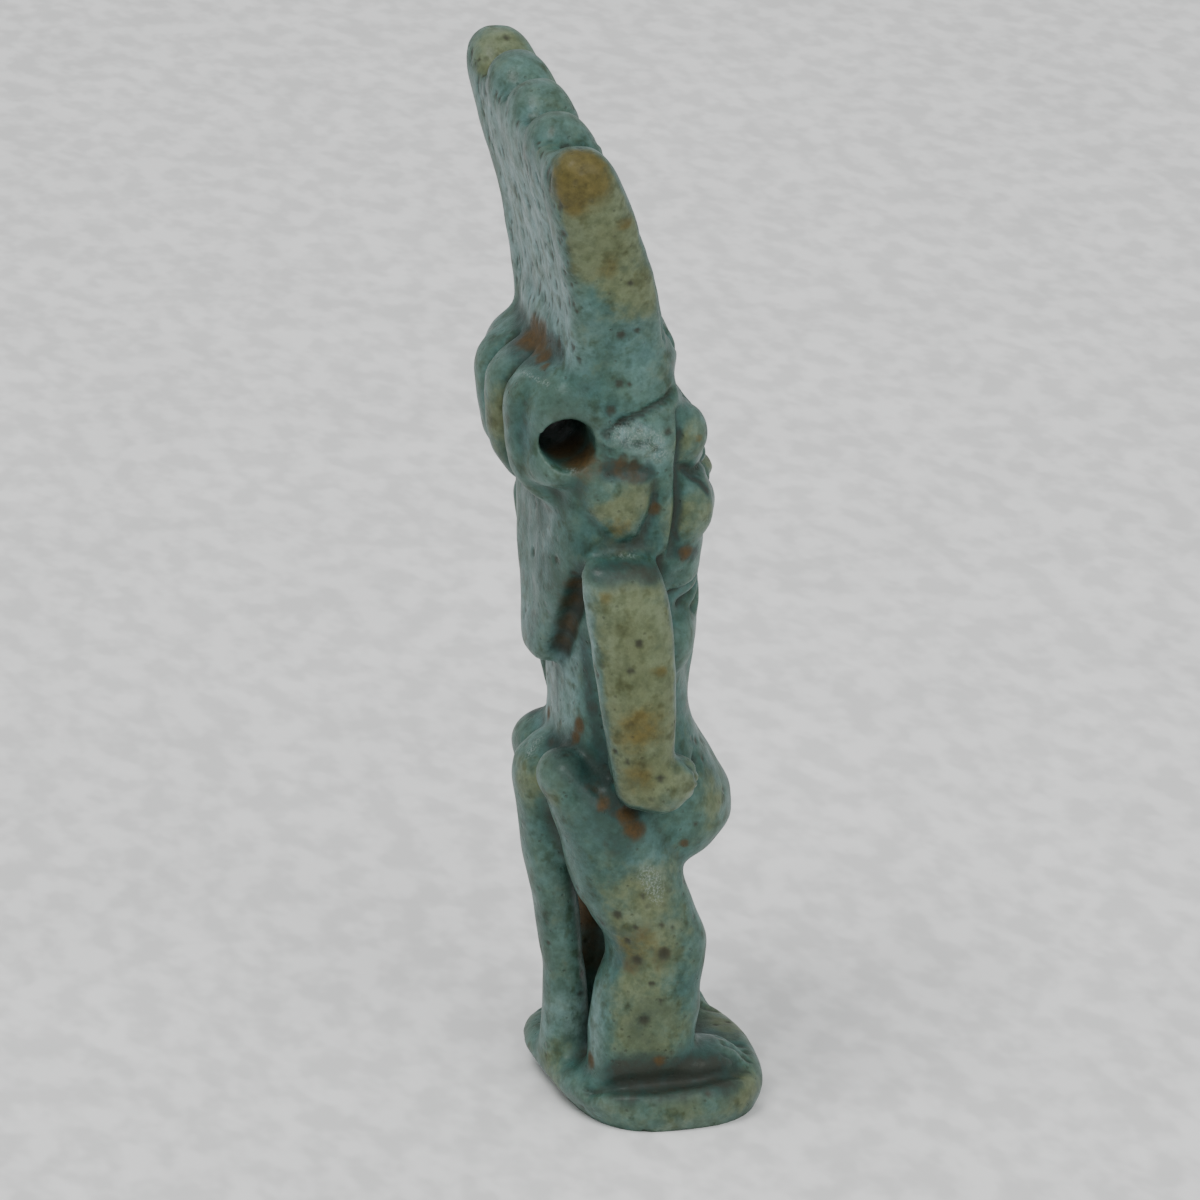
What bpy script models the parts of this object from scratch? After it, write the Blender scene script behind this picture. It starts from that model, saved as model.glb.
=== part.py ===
"""A moulded faience figurine of the dwarf god Bes, standing on a low base of its own.

Metres, +Z up. The figure faces -Y and its right hand is at -X. The origin is the centre of the
base's flat underside. It is one solid: base, legs, tail, body, arms, head, suspension loop and
plumed crown were moulded together, and only the gaps beside the tail and the loop's hole go through.
"""

import math

import bmesh
import bpy
import numpy as np
from mathutils import Euler, Matrix, Vector

MM = 0.001

# The base, the hole and the loop have sizes of their own
BASE_WIDTH = 11.4 * MM
BASE_DEPTH = 8.8 * MM
BASE_THICKNESS = 1.9 * MM
BASE_EDGE_RADIUS = 0.85 * MM
BASE_ROUNDNESS = 2.7
BASE_SKEW = 0.08
BASE_BOW = 0.03
BASE_HEEL_CUT = 0.6 * MM
UNDER_EDGE = 0.4
RIM_STEPS = 6
HOLE_DIAMETER = 2.1 * MM
LOOP_WIDTH = 7.2 * MM
LOOP_RIBS = 3

# The figure is a free form: its pose and carving are in units of a forty-first of its height
FIGURE_HEIGHT = 41.0 * MM
UNIT = FIGURE_HEIGHT / 41.0
SETBACK = 0.3

CROWN_FOOT = 29.5
CROWN_LENGTH = 11.4
FEATHERS = 5
FEATHER_PITCH_TOP = 3.4
FEATHER_PITCH_FOOT = 2.05
CROWN_TILT = 0.24
CROWN_ARCH = 0.05
WEB_TOP = 0.9
WEB_STEPS = 14
WEB_SHARE = 0.7
WEB_BACK = 0.97
PLUME_SHARE = 0.54
RIB_SHARE = 0.52

# Mesh fineness
CLAY_VOXEL = 0.2 * MM
SOFTENING_PASSES = 4
GLAZING_PASSES = 2
TRIANGLES = 9400
BELOW_UNDERSIDE = 0.4 * MM
FLAT_WITHIN = 0.04 * MM

SIDES = (-1, 1)
FRONT = (0, -1, 0)


def at(x, y, z):
    """A point of the figure, in its units. It stands a little behind the base's middle,
    and its z counts from the soles of its feet.
    """
    return Vector((x * UNIT, (y + SETBACK) * UNIT, BASE_THICKNESS + z * UNIT))


def ellipsoid(clay, centre, radii, turn=(0, 0, 0)):
    """Adds an ellipsoid to the clay. Turn is in degrees about X, Y and Z."""
    size = Matrix.Diagonal((radii[0] * UNIT, radii[1] * UNIT, radii[2] * UNIT, 1))
    turned = Euler([math.radians(angle) for angle in turn]).to_matrix().to_4x4()
    matrix = Matrix.Translation(at(*centre)) @ turned @ size
    bmesh.ops.create_uvsphere(clay, u_segments=32, v_segments=20, radius=1, matrix=matrix)


def pair(clay, centre, radii, turn=(0, 0, 0)):
    """Adds an ellipsoid on the figure's left side and its mirror image on the right."""
    for side in SIDES:
        ellipsoid(
            clay,
            (centre[0] * side, centre[1], centre[2]),
            radii,
            (turn[0], turn[1] * side, turn[2] * side),
        )


def ring(clay, centre, half_width, half_depth, roundness, sides=40):
    """A level superellipse ring in metres: roundness 2 is an ellipse, and more is boxier."""
    verts = []
    for step in range(sides):
        angle = 2 * math.pi * step / sides
        cos, sin = math.cos(angle), math.sin(angle)
        x = math.copysign(abs(cos) ** (2 / roundness), cos) * half_width
        y = math.copysign(abs(sin) ** (2 / roundness), sin) * half_depth
        verts.append(clay.verts.new(centre + Vector((x, y, 0))))
    return verts


def skin_over(clay, rings):
    """Closes a form over its rings, lowest first."""
    clay.faces.new(reversed(rings[0]))
    clay.faces.new(rings[-1])
    sides = len(rings[0])
    for lower, upper in zip(rings, rings[1:]):
        for i in range(sides):
            j = (i + 1) % sides
            clay.faces.new((lower[i], lower[j], upper[j], upper[i]))


def loft(clay, roundness, stations):
    """Adds a form through level rings, lowest first.

    A station is x, y, z, half width and half depth, in figure units.
    """
    rings = []
    for x, y, z, half_width, half_depth in stations:
        rings.append(ring(clay, at(x, y, z), half_width * UNIT, half_depth * UNIT, roundness))
    skin_over(clay, rings)


def loft_pair(clay, roundness, stations):
    """Adds a form on the figure's left side and its mirror image on the right."""
    for side in SIDES:
        loft(clay, roundness, [(x * side, y, z, width, depth) for x, y, z, width, depth in stations])


def add_base(clay):
    """A low slab with bowed sides and a rolled rim. Its underside is cut flat later."""
    centre_height = BASE_THICKNESS - BASE_EDGE_RADIUS
    rings = []
    under_inset = BASE_EDGE_RADIUS * UNDER_EDGE
    rings.append(base_ring(clay, -BELOW_UNDERSIDE, under_inset, BASE_HEEL_CUT))
    for share in (0.0, 0.25, 0.6, 1.0):
        inset = under_inset * (1 - share) ** 3
        rings.append(base_ring(clay, centre_height * share, inset, BASE_HEEL_CUT * (1 - share)))
    for step in range(1, RIM_STEPS + 1):
        angle = math.radians(90 * step / RIM_STEPS)
        level = centre_height + BASE_EDGE_RADIUS * math.sin(angle)
        rings.append(base_ring(clay, level, BASE_EDGE_RADIUS * (1 - math.cos(angle)), 0))
    skin_over(clay, rings)


def base_ring(clay, level, inset, heel_cut):
    """One level of the base, drawn in by the inset all round and by the heel cut behind.

    Its sides stand askew, and its two ends bow back a little.
    """
    centre = Vector((0, 0, level))
    verts = ring(clay, centre, BASE_WIDTH / 2 - inset, BASE_DEPTH / 2 - inset, BASE_ROUNDNESS)
    for vert in verts:
        vert.co.y += BASE_SKEW * vert.co.x + BASE_BOW * vert.co.x**2 / (BASE_WIDTH / 2)
        vert.co.y -= heel_cut * max(vert.co.y, 0) / (BASE_DEPTH / 2)
    return verts


def add_legs(clay):
    """Short thick legs, bent, with the knees forward, the hips behind and the feet flat.

    The right hip stands out behind a little more than the left.
    """
    shin_and_thigh = [
        (3.0, 0.6, -0.4, 1.9, 2.15),
        (3.0, 0.6, 0.6, 1.9, 2.15),
        (3.0, 0.56, 1.8, 1.82, 2.14),
        (3.0, 0.4, 2.8, 1.86, 2.2),
        (3.0, 0.3, 3.8, 1.9, 2.1),
        (3.02, -0.05, 4.9, 1.93, 1.97),
        (3.02, 0.0, 5.8, 1.96, 2.03),
        (3.0, 0.47, 6.8, 2.0, 2.13),
        (2.97, 0.89, 7.9, 2.05, 2.16),
        (2.92, 1.27, 9.2, 2.05, 2.18),
        (2.85, 1.7, 10.6, 1.9, 2.1),
        (2.75, 2.1, 11.8, 1.5, 1.8),
    ]
    loft_pair(clay, 2.5, shin_and_thigh)
    hips = [
        (2.9, 1.3, 7.6, 1.6, 1.8),
        (2.9, 1.5, 8.9, 2.1, 2.05),
        (2.9, 1.8, 10.2, 2.25, 2.1),
        (2.9, 2.2, 11.4, 2.25, 2.05),
        (2.85, 2.6, 12.2, 2.1, 1.85),
        (2.75, 2.8, 12.8, 1.75, 1.5),
        (2.6, 2.85, 13.3, 1.2, 0.95),
        (2.5, 2.85, 13.6, 0.6, 0.4),
    ]
    loft_pair(clay, 2.3, hips)
    ellipsoid(clay, (-2.85, 3.75, 12.95), (1.45, 1.05, 1.1), (-20, 0, 0))
    pair(clay, (3.05, -0.5, 5.3), (1.75, 1.6, 1.6))
    pair(clay, (3.0, -1.3, 0.15), (1.8, 2.35, 0.85))
    pair(clay, (2.9, -2.35, 0.1), (1.65, 1.2, 0.5))


def add_tail(clay):
    """The lion's tail, which hangs from the small of the back to the base."""
    tail = [
        (0, 3.1, -0.4, 1.4, 1.0),
        (0, 3.0, 1.2, 1.25, 0.9),
        (0, 3.05, 3.4, 1.2, 0.85),
        (0, 3.4, 6.2, 1.25, 0.88),
        (0, 3.8, 8.8, 1.35, 0.95),
        (0, 4.0, 10.8, 1.45, 1.0),
        (0, 4.05, 11.9, 1.5, 1.08),
        (0, 3.9, 12.8, 1.4, 1.05),
        (0, 3.45, 13.5, 1.1, 0.85),
        (0, 2.95, 13.9, 0.6, 0.5),
    ]
    loft(clay, 2.4, tail)


def add_body(clay):
    """A barrel chest over a sagging pot belly."""
    trunk = [
        (0, 0.9, 7.9, 2.6, 1.7),
        (0, 0.6, 8.5, 3.4, 2.4),
        (0, 0.2, 9.3, 4.0, 3.1),
        (0, -0.1, 10.3, 4.35, 3.55),
        (0, -0.1, 11.3, 4.5, 3.55),
        (0, 0.2, 12.5, 4.45, 3.25),
        (0, 0.6, 13.7, 4.35, 2.95),
        (0, 0.82, 15.0, 4.25, 2.65),
        (0, 0.9, 16.6, 4.3, 2.55),
        (0, 0.95, 18.4, 4.4, 2.55),
        (0, 1.1, 20.2, 4.6, 2.6),
        (0, 1.25, 21.8, 4.8, 2.6),
        (0, 1.5, 23.2, 4.4, 2.4),
    ]
    loft(clay, 2.3, trunk)
    pair(clay, (2.4, -0.75, 18.4), (2.1, 0.95, 1.6), (8, 0, 10))


def add_arms(clay):
    """Arms held straight down at the sides, with the fists on the front of the hips."""
    arm = [
        (4.8, 2.1, 23.0, 0.8, 1.35),
        (5.1, 2.1, 22.7, 1.15, 1.6),
        (5.35, 2.05, 22.0, 1.4, 1.7),
        (5.47, 1.9, 21.1, 1.42, 1.72),
        (5.55, 1.72, 19.8, 1.35, 1.72),
        (5.62, 1.55, 18.0, 1.28, 1.66),
        (5.62, 1.42, 16.4, 1.22, 1.55),
        (5.55, 1.32, 15.0, 1.2, 1.42),
        (5.45, 1.2, 13.8, 1.2, 1.35),
        (5.35, 1.05, 12.9, 1.1, 1.25),
        (5.2, 0.95, 12.3, 0.7, 0.8),
    ]
    loft_pair(clay, 3.0, list(reversed(arm)))
    pair(clay, (5.45, 0.45, 13.15), (1.4, 1.3, 1.15))
    pair(clay, (5.5, 0.0, 13.5), (1.25, 1.15, 1.0))


def add_back_mane(clay):
    """The mane falls over the shoulders and narrows to a blunt tongue on the back."""
    mane = [
        (0, 3.6, 17.2, 1.2, 0.8),
        (0, 3.55, 17.5, 1.6, 1.05),
        (0, 3.5, 18.2, 1.95, 1.05),
        (0, 3.4, 19.4, 2.6, 1.08),
        (0, 3.2, 20.8, 3.5, 1.25),
        (0, 3.0, 22.0, 4.4, 1.4),
        (0, 2.9, 23.2, 4.85, 1.42),
        (0, 2.9, 24.6, 5.05, 1.4),
        (0, 2.9, 26.5, 5.2, 1.5),
    ]
    loft(clay, 3.2, mane)


def add_head(clay):
    """The flat-sided head behind the face, and the block of hair behind it that the loop joins."""
    head = [
        (0, 1.5, 20.6, 4.0, 1.7),
        (0, 1.4, 21.8, 4.9, 2.2),
        (0, 1.4, 23.2, 5.25, 2.25),
        (0, 1.4, 26.0, 5.4, 2.3),
        (0, 1.7, 28.4, 5.55, 2.6),
        (0, 2.0, 29.6, 5.5, 2.5),
    ]
    loft(clay, 6.0, head)
    occiput = [
        (0, 3.0, 25.6, 4.5, 1.9),
        (0, 3.15, 25.9, 5.15, 2.25),
        (0, 3.2, 26.4, 5.4, 2.35),
        (0, 3.15, 29.0, 5.4, 2.35),
        (0, 3.0, 29.8, 5.2, 2.2),
        (0, 2.7, 30.4, 4.9, 1.8),
    ]
    loft(clay, 4.2, occiput)


def add_face(clay):
    """A broad mask: heavy brows, round eyes, flat nose, full cheeks and the tongue out."""
    mask = [
        (0, 0.2, 19.8, 3.4, 1.7),
        (0, 0.1, 21.0, 4.2, 2.0),
        (0, 0.05, 22.6, 4.65, 2.2),
        (0, 0.05, 24.4, 4.75, 2.3),
        (0, 0.05, 26.0, 4.75, 2.2),
        (0, 0.1, 27.3, 4.6, 2.1),
        (0, 0.4, 28.4, 4.1, 1.7),
    ]
    loft(clay, 3.0, mask)
    pair(clay, (4.0, -0.85, 27.45), (1.05, 0.95, 1.2))
    pair(clay, (3.95, -0.95, 24.4), (1.15, 1.1, 1.6))
    pair(clay, (2.6, -1.25, 27.2), (1.75, 0.85, 0.62), (0, -8, 14))
    pair(clay, (1.0, -1.7, 26.95), (0.8, 0.6, 0.5), (0, 25, 0))
    pair(clay, (2.15, -1.6, 26.0), (1.05, 0.62, 0.68))
    ellipsoid(clay, (0, -1.95, 25.6), (0.72, 0.65, 1.5), (8, 0, 0))
    ellipsoid(clay, (0, -2.4, 24.45), (0.95, 0.7, 0.6))
    pair(clay, (0.95, -2.2, 24.3), (0.62, 0.6, 0.48))
    pair(clay, (3.1, -1.15, 24.35), (1.5, 1.15, 1.2))
    pair(clay, (1.5, -1.75, 23.45), (1.45, 0.72, 0.55), (0, 16, 8))
    ellipsoid(clay, (0, -1.6, 21.3), (1.8, 0.7, 0.6))
    ellipsoid(clay, (0, -1.95, 21.95), (0.8, 0.6, 1.15), (-8, 0, 0))


def add_beard(clay):
    """A ruff of locks round the jaw, and a long beard on the chest down to the belly."""
    ruff = [
        (0, -0.4, 19.3, 2.0, 1.1),
        (0, -0.45, 20.0, 3.3, 1.4),
        (0, -0.5, 21.2, 4.3, 1.6),
        (0, -0.4, 22.6, 4.75, 1.5),
        (0, -0.2, 24.0, 4.85, 1.1),
    ]
    loft(clay, 2.5, ruff)
    beard = [
        (0, -1.1, 14.2, 0.8, 0.5),
        (0, -1.15, 14.7, 1.5, 0.75),
        (0, -1.1, 16.2, 2.0, 0.95),
        (0, -1.05, 18.0, 2.6, 1.15),
        (0, -0.95, 19.6, 3.1, 1.35),
        (0, -0.8, 21.0, 3.4, 1.4),
    ]
    loft(clay, 2.5, beard)


def add_crown(clay):
    """Five tall plumes on a low band. They fan out, lean back and end in round tips."""
    band = [
        (0, 2.0, 28.3, 5.2, 2.0),
        (0, 1.85, 28.9, 5.5, 2.45),
        (0, 1.75, 29.6, 5.6, 2.5),
        (0, 1.65, 30.2, 5.65, 2.55),
        (0, 1.6, 30.7, 5.65, 2.6),
        (0, 1.7, 31.1, 5.6, 2.5),
        (0, 1.9, 31.8, 5.55, 2.3),
    ]
    loft(clay, 3.0, band)
    middle = (FEATHERS - 1) / 2
    for feather in range(FEATHERS):
        place = feather - middle
        outer = abs(place) == middle
        loft(clay, 3.4 if outer else 2.6, feather_stations(place))
    web = []
    for step in range(WEB_STEPS + 1):
        share = WEB_TOP * step / WEB_STEPS
        y, half_depth, _ = feather_profile(share)
        width = feather_pitch(share) * (middle + 0.2)
        # the web is the back of the crown, and thins out towards its top
        half = half_depth * WEB_SHARE * (1 - (share / WEB_TOP) ** 6 * 0.5)
        back = y + half_depth * WEB_BACK
        web.append((0, back - half, CROWN_FOOT + share * CROWN_LENGTH, width, half))
    loft(clay, 6.0, web)


def feather_pitch(share):
    """The distance between plumes at a share of their length."""
    return FEATHER_PITCH_FOOT + (FEATHER_PITCH_TOP - FEATHER_PITCH_FOOT) * share**1.3


def feather_profile(share):
    """A plume's middle depth, half depth and fullness at a share of its length."""
    shares = (0.0, 0.15, 0.3, 0.45, 0.6, 0.76, 0.87, 0.93, 0.97, 1.0)
    middles = (1.75, 1.95, 2.2, 2.5, 2.95, 3.48, 3.84, 3.97, 4.0, 3.98)
    halves = (2.25, 2.0, 1.85, 1.78, 1.72, 1.6, 1.45, 1.22, 0.95, 0.45)
    fullness = (1.0, 1.0, 1.0, 1.0, 1.0, 1.0, 0.95, 0.8, 0.58, 0.28)
    return [float(np.interp(share, shares, values)) for values in (middles, halves, fullness)]


def feather_stations(place):
    """The rings of one plume. Place counts plumes from the middle one."""
    tip = CROWN_LENGTH + CROWN_TILT * place - CROWN_ARCH * place * place
    stations = []
    for share in (0.0, 0.15, 0.3, 0.45, 0.6, 0.76, 0.82, 0.87, 0.9, 0.93, 0.955, 0.975, 0.99, 1.0):
        y, half_depth, fullness = feather_profile(share)
        pitch = feather_pitch(share)
        half_width = pitch * PLUME_SHARE * fullness
        stations.append((place * pitch, y, CROWN_FOOT + tip * share, half_width, half_depth))
    return stations


# The loop's height above the soles, and how far back its middle rib stands there
LOOP_PROFILE = (
    (24.5, 4.6),
    (24.9, 5.25),
    (25.8, 5.9),
    (27.0, 6.15),
    (28.4, 6.25),
    (29.2, 6.1),
    (29.75, 5.65),
    (30.15, 5.0),
    (30.5, 4.2),
)
HOLE_CENTRE = (0, 4.02, 27.66)
LOOP_BOW = 0.2
LOOP_FRONT = 1.5


def add_loop(clay):
    """The suspension loop behind the head: upright rounded ribs, the middle one fullest."""
    pitch = LOOP_WIDTH / LOOP_RIBS / UNIT
    middle = (LOOP_RIBS - 1) / 2
    for rib in range(LOOP_RIBS):
        place = rib - middle
        stations = []
        for z, back in LOOP_PROFILE:
            half_depth = (back - LOOP_BOW * abs(place) - LOOP_FRONT) / 2
            half_width = pitch * RIB_SHARE
            stations.append((place * pitch, LOOP_FRONT + half_depth, z, half_width, half_depth))
        loft(clay, 3.0, stations)


def hole_cutter(collection):
    """A rod through the loop, from one side of the head to the other."""
    cutter = bmesh.new()
    centre = at(*HOLE_CENTRE)
    matrix = Matrix.Translation(centre) @ Euler((0, math.radians(90), 0)).to_matrix().to_4x4()
    radius = HOLE_DIAMETER / 2
    bmesh.ops.create_cone(
        cutter,
        cap_ends=True,
        segments=32,
        radius1=radius,
        radius2=radius,
        depth=FIGURE_HEIGHT,
        matrix=matrix,
    )
    obj = mesh_object("hole_cutter", cutter, collection)
    obj.hide_render = True
    obj.display_type = "WIRE"
    return obj


def mirrored(path, side):
    """A path on the figure's left, or its mirror image on the right."""
    return [(x * side, y, z) for x, y, z in path]


class Skin:
    """The figure's surface as arrays, for carving."""

    def __init__(self, obj):
        self.mesh = obj.data
        count = len(self.mesh.vertices)
        points = np.empty(count * 3, np.float32)
        normals = np.empty(count * 3, np.float32)
        self.mesh.vertices.foreach_get("co", points)
        self.mesh.vertex_normals.foreach_get("vector", normals)
        self.points = points.reshape(-1, 3).astype(float)
        self.normals = normals.reshape(-1, 3).astype(float)

    def groove(self, path, width, depth, facing, reach=1.6):
        """Presses a line into the surface that looks the facing's way, in figure units."""
        facing = np.array(facing, float)
        route = [np.array(at(*point)) for point in path]
        gap = np.full(len(self.points), np.inf)
        for start, end in zip(route, route[1:]):
            along = end - start
            flat_along = along - facing * (along @ facing)
            offset = self.points - start
            offset_flat = offset - np.outer(offset @ facing, facing)
            share = np.clip(offset_flat @ flat_along / (flat_along @ flat_along), 0, 1)
            distance = np.linalg.norm(offset_flat - np.outer(share, flat_along), axis=1)
            height = np.abs(offset @ facing - share * (along @ facing))
            gap = np.minimum(gap, np.where(height < reach * UNIT, distance, np.inf))
        turned = np.clip((self.normals @ facing - 0.1) / 0.4, 0, 1)
        self.press(depth * np.exp(-((gap / (width * UNIT)) ** 2)) * turned)

    def patch(self, side, corners, height, edge):
        """Raises a flat patch on a side of the figure. Its corners are y and z, and go round
        a convex outline clockwise as seen from the figure's right.
        """
        gap = np.full(len(self.points), -np.inf)
        for start, end in zip(corners, corners[1:] + corners[:1]):
            start = np.array(at(0, *start))[1:]
            along = np.array(at(0, *end))[1:] - start
            outward = np.array((along[1], -along[0])) / np.linalg.norm(along)
            gap = np.maximum(gap, (self.points[:, 1:] - start) @ outward)
        inside = np.clip(0.5 - gap / (edge * UNIT), 0, 1)
        turned = np.clip((self.normals[:, 0] * side - 0.3) / 0.4, 0, 1)
        self.press(-height * inside * inside * (3 - 2 * inside) * turned)

    def dimple(self, centre, radius, depth):
        """Presses a round hollow, or with a negative depth raises a boss."""
        distance = np.linalg.norm(self.points - np.array(at(*centre)), axis=1)
        self.press(depth * np.exp(-((distance / (radius * UNIT)) ** 2)))

    def press(self, depths):
        """Moves the surface inwards by depths in figure units."""
        self.points -= self.normals * (depths * UNIT)[:, None]

    def finish(self):
        """Puts the carved points back into the mesh."""
        self.mesh.vertices.foreach_set("co", self.points.astype(np.float32).ravel())
        self.mesh.update()


def carve_crown(skin):
    """Lines between the plumes, a quill down each, and the seam under the band."""
    for side in SIDES:
        seam = [(5.7 * side, 2.5, 28.3), (5.7 * side, 1.4, 28.8), (5.3 * side, -0.2, 29.5)]
        skin.groove(seam, 0.17, 0.35, (side, 0, 0))
    for place in range(FEATHERS):
        x = place - (FEATHERS - 1) / 2
        skin.groove([(x * 2.55, 0.4, 31.8), (x * 3.2, 2.4, 39.4)], 0.16, 0.16, FRONT)
    for place in range(FEATHERS - 1):
        x = place - (FEATHERS - 2) / 2
        skin.groove([(x * 2.35, 0.4, 30.6), (x * 3.3, 2.8, 40.6)], 0.22, 0.3, FRONT, reach=2.5)


def carve_head_sides(skin):
    """The grooves of the loop, a low rough ear on each side of the head, and a curl under it."""
    for gap in range(LOOP_RIBS - 1):
        x = (gap - (LOOP_RIBS - 2) / 2) * LOOP_WIDTH / LOOP_RIBS / UNIT
        rib_edge = [(x, 5.6, 25.4), (x, 6.1, 27.0), (x, 6.0, 29.2), (x, 5.2, 30.2)]
        skin.groove(rib_edge, 0.18, 0.3, (0, 1, 0))
    ear = [(2.4, 28.35), (0.8, 28.2), (0.8, 26.9), (2.4, 27.05)]
    curl = [(3.5, 26.4), (0.8, 26.15), (1.3, 23.7), (2.1, 23.7), (3.2, 24.9)]
    for side in SIDES:
        skin.patch(side, ear, 0.12, 0.7)
        skin.patch(side, curl, 0.36, 0.7)
        mask_edge = [(5.2 * side, -0.45, 28.6), (5.2 * side, -0.45, 25.6), (5.2 * side, -0.4, 22.6)]
        skin.groove(mask_edge, 0.25, 0.3, (0.8 * side, -0.6, 0))


def carve_edges(skin):
    """The hollows that part the arms from the body and the mane from the back."""
    for side in SIDES:
        arm_front = [(5.2, 0.3, 22.4), (5.2, -0.2, 20.0), (5.2, -0.2, 17.0), (5.2, 0.0, 15.0)]
        skin.groove(mirrored(arm_front, side), 0.32, 0.45, (0.6 * side, -0.8, 0), reach=2.2)
        arm_back = [(5.2, 3.7, 22.0), (5.2, 3.4, 19.0), (5.2, 2.8, 16.0), (5.1, 2.3, 13.6)]
        skin.groove(mirrored(arm_back, side), 0.3, 0.35, (0.6 * side, 0.8, 0), reach=2.2)
        mane_edge = [(4.9, 2.9, 22.6), (3.9, 3.6, 21.1), (2.9, 4.0, 19.5), (1.9, 4.0, 17.8)]
        skin.groove(mirrored(mane_edge, side), 0.26, 0.35, (0.3 * side, 0.95, 0), reach=2.0)


def arc(x, z, half_width, half_height, first, last, y):
    """Points along an arc in front of the face, between two angles in degrees."""
    steps = 8
    points = []
    for step in range(steps + 1):
        angle = math.radians(first + (last - first) * step / steps)
        points.append((x + half_width * math.cos(angle), y, z + half_height * math.sin(angle)))
    return points


def carve_face(skin):
    """Lids, nostrils, mouth and the locks of the ruff."""
    for side in SIDES:
        upper_lid = arc(2.15, 25.9, 1.1, 0.72, 5, 175, -2.1)
        lower_lid = arc(2.15, 26.05, 1.0, 0.6, 190, 350, -2.1)
        skin.groove(mirrored(upper_lid, side), 0.15, 0.26, FRONT)
        skin.groove(mirrored(lower_lid, side), 0.14, 0.2, FRONT)
        skin.dimple((0.62 * side, -2.85, 24.1), 0.24, 0.25)
        moustache = [(0.6, -2.5, 23.0), (2.0, -2.3, 22.75), (3.1, -1.8, 23.1)]
        skin.groove(mirrored(moustache, side), 0.2, 0.32, FRONT)
        cheek = [(1.35, -2.4, 24.7), (2.0, -2.3, 24.05), (3.2, -2.0, 23.45)]
        skin.groove(mirrored(cheek, side), 0.18, 0.28, FRONT)
    locks = 12
    for lock in range(locks):
        angle = math.radians(213 + 114 * lock / (locks - 1))
        inner, outer = 2.7, 4.9
        start = (inner * math.cos(angle), -2.0, 23.2 + inner * math.sin(angle))
        end = (outer * math.cos(angle), -1.4, 23.2 + outer * math.sin(angle) * 0.9)
        skin.groove([start, end], 0.17, 0.28, FRONT, reach=2.5)


def carve_body(skin):
    """Strands of the beard, the navel, the fingers and the toes."""
    strands = 5
    for strand in range(strands):
        x = (strand - (strands - 1) / 2) * 0.9
        path = [(x * 1.05, -2.0, 19.0), (x * 0.85, -2.0, 16.6), (x * 0.45, -1.8, 14.6)]
        skin.groove(path, 0.16, 0.22, FRONT)
    skin.dimple((0, -3.7, 11.6), 0.35, 0.4)
    for side in SIDES:
        for finger in range(3):
            z = 13.75 - 0.52 * finger
            crease = [(4.1, -1.3, z), (5.4, -1.2, z), (6.2, -0.2, z - 0.1)]
            skin.groove(mirrored(crease, side), 0.12, 0.12, FRONT)
        for toe in range(4):
            x = 2.9 + (toe - 1.5) * 0.72
            skin.groove([(x * side, -4.2, 0.3), (x * side, -2.9, 0.9)], 0.13, 0.13, (0, -0.6, 0.8))


def mesh_object(name, shape, collection):
    """An object made of a bmesh, which is freed."""
    mesh = bpy.data.meshes.new(name)
    shape.to_mesh(mesh)
    shape.free()
    obj = bpy.data.objects.new(name, mesh)
    collection.objects.link(obj)
    return obj


def settle(obj):
    """Puts what the modifiers make into the object's own mesh."""
    graph = bpy.context.evaluated_depsgraph_get()
    made = bpy.data.meshes.new_from_object(obj.evaluated_get(graph))
    obj.modifiers.clear()
    old, obj.data = obj.data, made
    made.name = obj.name
    bpy.data.meshes.remove(old)


def remesh(obj):
    """Fuses overlapping forms into one skin."""
    modifier = obj.modifiers.new("fuse", "REMESH")
    modifier.mode = "VOXEL"
    modifier.voxel_size = CLAY_VOXEL
    settle(obj)


def soften(obj, passes):
    """Rounds every edge and fills every seam a little, as the glaze does."""
    modifier = obj.modifiers.new("soften", "SMOOTH")
    modifier.factor = 0.5
    modifier.iterations = passes
    settle(obj)


def cut(obj, cutter):
    """Cuts the rod's hole through the solid."""
    modifier = obj.modifiers.new("cut", "BOOLEAN")
    modifier.operation = "DIFFERENCE"
    modifier.object = cutter
    settle(obj)


def decimate(obj):
    """Brings the solid down to its number of triangles, which stay dense where it curves."""
    obj.data.calc_loop_triangles()
    modifier = obj.modifiers.new("decimate", "DECIMATE")
    modifier.ratio = TRIANGLES / len(obj.data.loop_triangles)
    settle(obj)


def cut_underside(obj):
    """Cuts the base flat at the origin's height."""
    shape = bmesh.new()
    shape.from_mesh(obj.data)
    bmesh.ops.bisect_plane(
        shape,
        geom=shape.verts[:] + shape.edges[:] + shape.faces[:],
        plane_co=(0, 0, 0),
        plane_no=(0, 0, 1),
        clear_inner=True,
    )
    rim = [edge for edge in shape.edges if edge.is_boundary]
    bmesh.ops.holes_fill(shape, edges=rim, sides=0)
    bmesh.ops.triangulate(shape, faces=[face for face in shape.faces if len(face.verts) > 4])
    shape.to_mesh(obj.data)
    shape.free()


def press_flat(obj):
    """Returns what the last step lifted off the underside to its plane."""
    for vert in obj.data.vertices:
        if vert.co.z < FLAT_WITHIN:
            vert.co.z = 0.0


def faience():
    """Worn turquoise glaze."""
    material = bpy.data.materials.new("faience")
    material.use_nodes = True
    shader = material.node_tree.nodes["Principled BSDF"]
    shader.inputs["Base Color"].default_value = (0.13, 0.22, 0.19, 1)
    shader.inputs["Roughness"].default_value = 0.45
    shader.inputs["Metallic"].default_value = 0.0
    return material


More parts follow.
